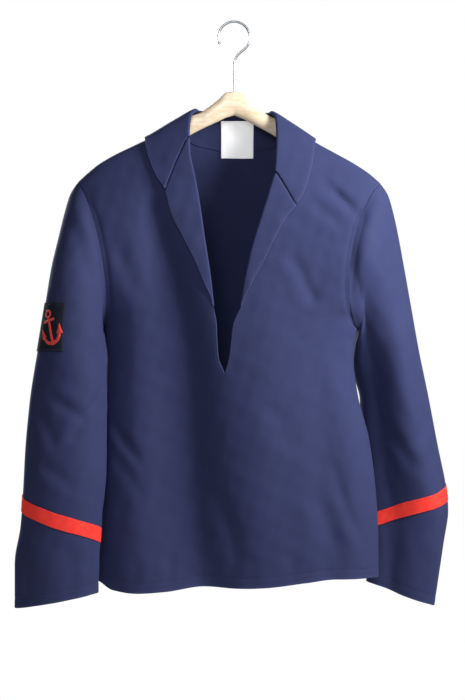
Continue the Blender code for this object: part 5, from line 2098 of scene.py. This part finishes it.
@dataclass
class Badge:
    """The felt patch on the wearer's right sleeve and the satin-stitched anchor on it."""

    shop: Workshop
    degrees: tuple[float, float] = (2.0, 76.0)
    heights: tuple[float, float] = (-425.0, -496.0)
    sleeve_radius: float = 51.0
    slant: float = 0.12
    centre: tuple[float, float] = (51.0, -462.0)
    lean: float = 17.0
    ring_height: float = 21.2
    narrow: float = 0.76
    patch_lift: float = 0.85
    pad_lift: float = 1.7
    pad_dome: float = 0.7
    pad_share: float = 0.9
    pad_edge: float = 0.25
    satin_lift: float = 2.41
    apart: float = 1e-7
    patch_wave: float = 0.25
    patch_wear: float = 0.6
    groove: float = 0.25
    stitch_inset: float = 2.2

    def strokes(self) -> list[Stroke]:
        """Return the anchor's strokes, about its own middle with y up.

        Returns:
            The strokes.
        """
        ring = arc(4.85, self.ring_height, -90, 270, 28)
        shank = np.stack([np.zeros(24), np.linspace(15.2, -25.5, 24)], axis=-1)
        stock = np.stack([np.linspace(-10.6, 10.6, 14), np.full(14, 10.8)], axis=-1)
        arms = arc(19.6, -3.8, -152, -28, 34)
        arms[:, 0] *= self.narrow
        strokes = [Stroke(ring, np.full(28, 1.65)), Stroke(shank, np.full(24, 2.2)),
                   Stroke(stock, np.full(14, 2.0)),
                   Stroke(arms, 2.85 - 0.5 * np.abs(np.linspace(-1, 1, 34)))]
        for hand in (-1, 1):
            tip = np.array([hand * 21.9 * self.narrow, 1.9])
            heel = np.array([hand * 18.2 * self.narrow, -12.6])
            line = tip + (heel - tip) * np.linspace(0, 1, 12)[:, None]
            strokes.append(Stroke(line, np.linspace(0.35, 5.4, 12)))
        return strokes

    def on_patch(self, flat: Array, lift: Any) -> Array:
        """Bend points of the badge's plane round the sleeve.

        Args:
            flat: rows and columns of x, y points.
            lift: how far they stand off the sleeve.

        Returns:
            The points in space.
        """
        turn = math.radians(self.lean)
        x = flat[..., 0] * math.cos(turn) - flat[..., 1] * math.sin(turn)
        y = flat[..., 0] * math.sin(turn) + flat[..., 1] * math.cos(turn)
        degrees = self.centre[0] + np.degrees(x / self.sleeve_radius)
        height = self.centre[1] + y
        return self.shop.sleeves[Hand.RIGHT].grid(degrees - self.skew(height), height, lift)

    def skew(self, height: Array) -> Array:
        """Return how many degrees a height is shifted, so that the badge hangs straight."""
        return self.slant * (height - self.heights[1])

    def build_patch(self) -> None:
        """Make the felt patch and sew it down."""
        shop = self.shop
        degrees = np.linspace(*self.degrees, 30)
        fine = np.array([0, 0.006, 0.02, 0.05])
        shares = np.concatenate([fine, np.linspace(0.09, 0.91, 24), 1 - fine[::-1]])
        heights = self.heights[0] + (self.heights[1] - self.heights[0]) * shares
        level = heights[:, None] + self.patch_wave * np.sin(degrees * 0.55)[None]
        grid = shop.sleeves[Hand.RIGHT].grid(degrees[None] - self.skew(level), level, self.patch_lift)
        normals = grid_normals(grid, grid - grid.mean(axis=(0, 1)))
        border_run = np.minimum.reduce([run_from(grid, border) for border in Border])
        normals = normals if np.sum(normals[..., 1]) < 0 else -normals
        groove = -self.groove * np.exp(-(border_run - self.stitch_inset) ** 2)
        piece, threads = shop.make_trim("badge_patch", IN_FELT, grid, normals, Border, self.stitch_inset,
                                        -0.1, groove, self.patch_wear * shop.hem_wear(border_run))

    def build_anchor(self) -> None:
        """Make the anchor's padding and lay satin threads over it."""
        shop = self.shop
        wall = ClothWall()
        sewing = Sewing(shop.tree)
        across = np.linspace(-1, 1, 9)
        for number, stroke in enumerate(self.strokes()):
            ahead = unit(np.gradient(stroke.line, axis=0))
            aside = np.stack([-ahead[:, 1], ahead[:, 0]], axis=-1)
            half = stroke.half_width[:, None, None] * self.pad_share
            flat = stroke.line[:, None] + aside[:, None] * half * across[None, :, None]
            dome = self.pad_dome * (1 - across**2) * np.minimum(stroke.half_width / 2, 1)[:, None]
            base = self.on_patch(flat, self.pad_lift)
            high = self.on_patch(flat, self.pad_lift + self.pad_edge + dome)
            lead = unit(high - base)
            rise = np.linalg.norm(high - base, axis=-1)
            wall.add(base + number * self.apart, lead, rise, 0.0, flat)
            spine = self.on_patch(stroke.line[:, None], self.satin_lift)[:, 0]
            sewing.line(spine, lead[:, 4], stroke.half_width * 2)
        hand_over("badge_anchor_padding", wall.mesh(), "red_thread",
                  shop.materials["red_thread"], ["badge_anchor"])
        sewing.sew("badge_anchor_satin", SATIN, shop.materials["red_thread"], "red_thread")


@dataclass
class NeckLabel:
    """The bare white label inside the back neck."""

    shop: Workshop
    x: tuple[float, float] = (-19.5, 29.5)
    z: tuple[float, float] = (-146.0, -200.5)
    lift: float = -3.2
    stitch_inset: float = 2.0
    wave: float = 0.5
    wave_reach: float = 7.0
    droop: float = 0.8

    def build(self) -> None:
        """Make the label, its lower edge free, and sew it along its top."""
        shop = self.shop
        x = np.linspace(*self.x, 26)[None]
        z = np.linspace(*self.z, 28)[:, None]
        x, z = np.broadcast_arrays(x, z)
        down = (z - self.z[0]) / (self.z[1] - self.z[0])
        sag = self.wave * down * np.sin(x / self.wave_reach) + self.droop * down**2
        grid = shop.body.lifted(x, shop.body.root_at(x, z, Side.BACK), self.lift - sag)
        normals = grid_normals(grid, np.array([0.0, -1.0, 0.0]))
        piece, threads = shop.make_trim("neck_label", IN_COTTON, grid, normals,
                                        (Border.TOP, Border.OUTER, Border.INNER), self.stitch_inset, 0.05)


@dataclass(frozen=True)
class BarStop:
    """The hanger bar's section at a distance from its middle."""

    x: float
    top: float
    foot: float
    thick: float


@dataclass
class Hanger:
    """The shaped wooden bar and its wire hook."""

    shop: Workshop
    wire: float = 3.5
    hook_radius: float = 22.0
    stem_foot: float = -103.6
    end_round: float = 3.5
    end_share: float = 0.05
    stops: tuple[BarStop, ...] = table(
        BarStop,
        (0, -104, -140, 14), (12, -106, -144, 14), (25, -118, -150.5, 14), (40, -130, -158, 13),
        (50, -137.0, -163, 11), (66, -143.7, -172, 10), (82, -152.4, -181, 10),
        (100, -163.7, -190, 11), (133, -184.3, -207, 11), (177, -207.0, -229, 10),
        (204, -223.7, -244, 9), (214, -232.3, -248, 7))

    def build_bar(self) -> None:
        """Make the bar with softly rounded ends."""
        end = self.stops[-1].x
        half = np.concatenate([np.arange(0, end - 4, 3.0), end - np.array([3, 1.6, 0.7, 0.15, 0])])
        stations = np.concatenate([-half[:0:-1], half])
        turns = np.radians(np.arange(0, 360, 9))
        table = {name: smooth(np.abs(stations), column(self.stops, "x"), column(self.stops, name))
                 for name in ("top", "foot", "thick")}
        level = -stations * self.shop.body.tilt
        from_end = end - np.abs(stations)
        close = np.sqrt(1 - np.clip(1 - from_end / self.end_round, 0, 1) ** 2)
        close = np.maximum(close, self.end_share)[:, None]
        tall = ((table["top"] - table["foot"]) / 2)[:, None]
        middle = ((table["top"] + table["foot"]) / 2 + level)[:, None]
        y = np.cos(turns)[None] * table["thick"][:, None] / 2 * close
        z = middle + np.sin(turns)[None] * tall * close
        rings = np.stack([np.broadcast_to(stations[:, None], y.shape), y, z], axis=-1)
        count, sides = rings.shape[:2]
        ids = np.arange(count * sides).reshape(count, sides)
        ahead = np.roll(ids, -1, axis=1)
        sleeve = np.stack([ids[:-1], ahead[:-1], ahead[1:], ids[1:]], -1).reshape(-1, 4)
        mesh = bpy.data.meshes.new("hanger_bar")
        caps = [tuple(ids[0][::-1].tolist()), tuple(ids[-1].tolist())]
        faces = [tuple(face) for face in sleeve.tolist()] + caps
        mesh.from_pydata((rings.reshape(-1, 3) * MM).tolist(), [], faces)
        outward_mesh(mesh)
        hand_over("hanger_bar_beech", mesh, "hanger_wood", self.shop.materials["beech"], ["hanger_bar"])

    def build_hook(self) -> None:
        """Bend the wire hook; its inside top is the origin."""
        radius = self.hook_radius + self.wire / 2
        stem = np.array([(0, self.stem_foot), (0, -95), (0, -84), (0, -73), (0, -64), (1.6, -55.5),
                         (6.2, -48)])
        bend = arc(radius, -self.hook_radius, -58, 205, 96)
        route = np.concatenate([along(stem, np.linspace(0, 1, 40)), bend])
        curve = bpy.data.curves.new("hook_wire", "CURVE")
        curve.dimensions = "3D"
        curve.bevel_depth = self.wire / 2 * MM
        curve.bevel_resolution = 6
        curve.use_fill_caps = True
        spline = curve.splines.new("POLY")
        spline.points.add(len(route) - 1)
        for point, (x, z) in zip(spline.points, route):
            point.co = (x * MM, 0, z * MM, 1)
        mesh = finished_mesh(linked("hook_guide", curve))
        outward_mesh(mesh)
        hand_over("hanger_hook_steel", mesh, "hook_wire", self.shop.materials["steel"], ["hanger_hook"])


def outward_mesh(mesh: Mesh, merge: float = 0.00001, sharp: float = 50.0) -> None:
    """Merge a closed mesh's doubles, turn its faces outwards and shade it smooth.

    Args:
        mesh: a closed mesh.
        merge: points closer than this, in metres, become one.
        sharp: edges that turn more than this, in degrees, stay sharp.
    """
    work = bmesh.new()
    work.from_mesh(mesh)
    bmesh.ops.remove_doubles(work, verts=work.verts[:], dist=merge)
    bmesh.ops.recalc_face_normals(work, faces=work.faces[:])
    work.to_mesh(mesh)
    work.free()
    mesh.shade_smooth()
    mesh.set_sharp_from_angle(angle=math.radians(sharp))


@dataclass
class Studio:
    """The pale floor, the soft lights and the camera straight in front."""

    centre: tuple[float, float] = (-0.00225, -0.49425)
    plane_y: float = -0.020
    distance: float = 2.8
    frame_height: float = 1.05
    floor_z: float = -1.62
    floor_half: float = 2.6
    floor_glow: float = 0.6
    glow: float = 0.08

    def camera(self) -> None:
        """Set the camera where 700 pixels span the frame's height at the smock."""
        data = bpy.data.cameras.new("photo_camera")
        data.sensor_fit = "VERTICAL"
        data.sensor_height = 24.0
        data.sensor_width = 36.0
        data.lens = data.sensor_height * self.distance / self.frame_height
        camera = linked("photo_camera", data)
        camera.location = (self.centre[0], self.plane_y - self.distance, self.centre[1])
        camera.rotation_euler = (math.radians(90), 0, 0)
        bpy.context.scene.camera = camera

    def lamp(self, name: str, place: tuple[float, float, float], size: float, power: float,
             tint: str) -> None:
        """Hang a soft square lamp that faces the smock.

        Args:
            name: the lamp's name.
            place: where it hangs, in metres.
            size: its side, in metres.
            power: in watts.
            tint: the light's colour.
        """
        data = bpy.data.lights.new(name, "AREA")
        data.energy = power
        data.size = size
        data.color = colour(tint)[:3]
        lamp = linked(name, data)
        lamp.location = place
        aim = Vector((0, 0, self.centre[1])) - Vector(place)
        lamp.rotation_euler = aim.to_track_quat("-Z", "Y").to_euler()
        lamp.visible_camera = False

    def floor(self) -> None:
        """Lay the floor, which looks lighter to the camera than it lights the smock."""
        half, z = self.floor_half, self.floor_z
        corners = [(-half, -half, z), (half, -half, z), (half, half, z), (-half, half, z)]
        mesh = bpy.data.meshes.new("floor")
        mesh.from_pydata(corners, [], [(0, 1, 2, 3)])
        material, tree, shader = new_material("matt_white_floor", {
            "Base Color": "f4f4f4", "Roughness": 0.9, "Emission Color": "ffffff"})
        seen = add_node(tree, "ShaderNodeLightPath").outputs["Is Camera Ray"]
        tree.links.new(scaled(tree, seen, self.floor_glow), shader.inputs["Emission Strength"])
        mesh.materials.append(material)
        linked("floor", mesh)

    def world(self) -> None:
        """Make the world white to the camera and dim as a light."""
        world = bpy.data.worlds.new("white_studio")
        world.use_nodes = True
        tree = world.node_tree
        back = tree.nodes["Background"]
        back.inputs["Color"].default_value = colour("ffffff")
        seen = add_node(tree, "ShaderNodeLightPath").outputs["Is Camera Ray"]
        tree.links.new(spread(tree, seen, 0.0, 1.0, (self.glow, 1.0)), back.inputs["Strength"])
        bpy.context.scene.world = world
        bpy.context.scene.view_settings.view_transform = "Standard"

    def build(self) -> None:
        """Make floor, world, lamps and camera."""
        self.floor()
        self.world()
        self.lamp("key_lamp", (0.94, -0.54, 0.10), 0.45, 25.0, "ffffff")
        self.lamp("back_lamp", (-1.3, 2.3, 0.5), 1.2, 60.0, "ffffff")
        self.lamp("fill_lamp", (-0.2, -1.5, 0.35), 0.6, 7.5, "f4f6ff")
        self.camera()


def make_workshop() -> Workshop:
    """Return the workshop with its forms, finishes and sewing tree.

    Returns:
        The workshop.
    """
    body = SmockForm()
    finishes = {
        "gabardine": GABARDINE, "badge_felt": BADGE_FELT, "red_braid": RED_BRAID,
        "label_cotton": LABEL_COTTON, "navy_thread": NAVY_THREAD, "red_thread": RED_THREAD,
        "white_thread": WHITE_THREAD, "beech": VarnishedBeech(), "steel": DrawnSteel()}
    materials = {name: finish.make() for name, finish in finishes.items()}
    return Workshop(body, NeckForm(body), sleeve_forms(body), materials, StitchTree().build())


def main() -> None:
    """Make every piece of the smock and its hanger, then the studio."""
    logging.basicConfig(level=logging.INFO, format="%(name)s: %(message)s")
    shop = make_workshop()
    for side in Side:
        Panel(shop, side).build()
    for hand in Hand:
        Sleeve(shop, hand).build()
    Collar(shop).build()
    for hand in Hand:
        Lapel(shop, hand).build()
        CuffTape(shop, hand).build()
    badge = Badge(shop)
    badge.build_patch()
    badge.build_anchor()
    NeckLabel(shop).build()
    hanger = Hanger(shop)
    hanger.build_bar()
    hanger.build_hook()
    Studio().build()


if __name__ == "__main__":
    main()
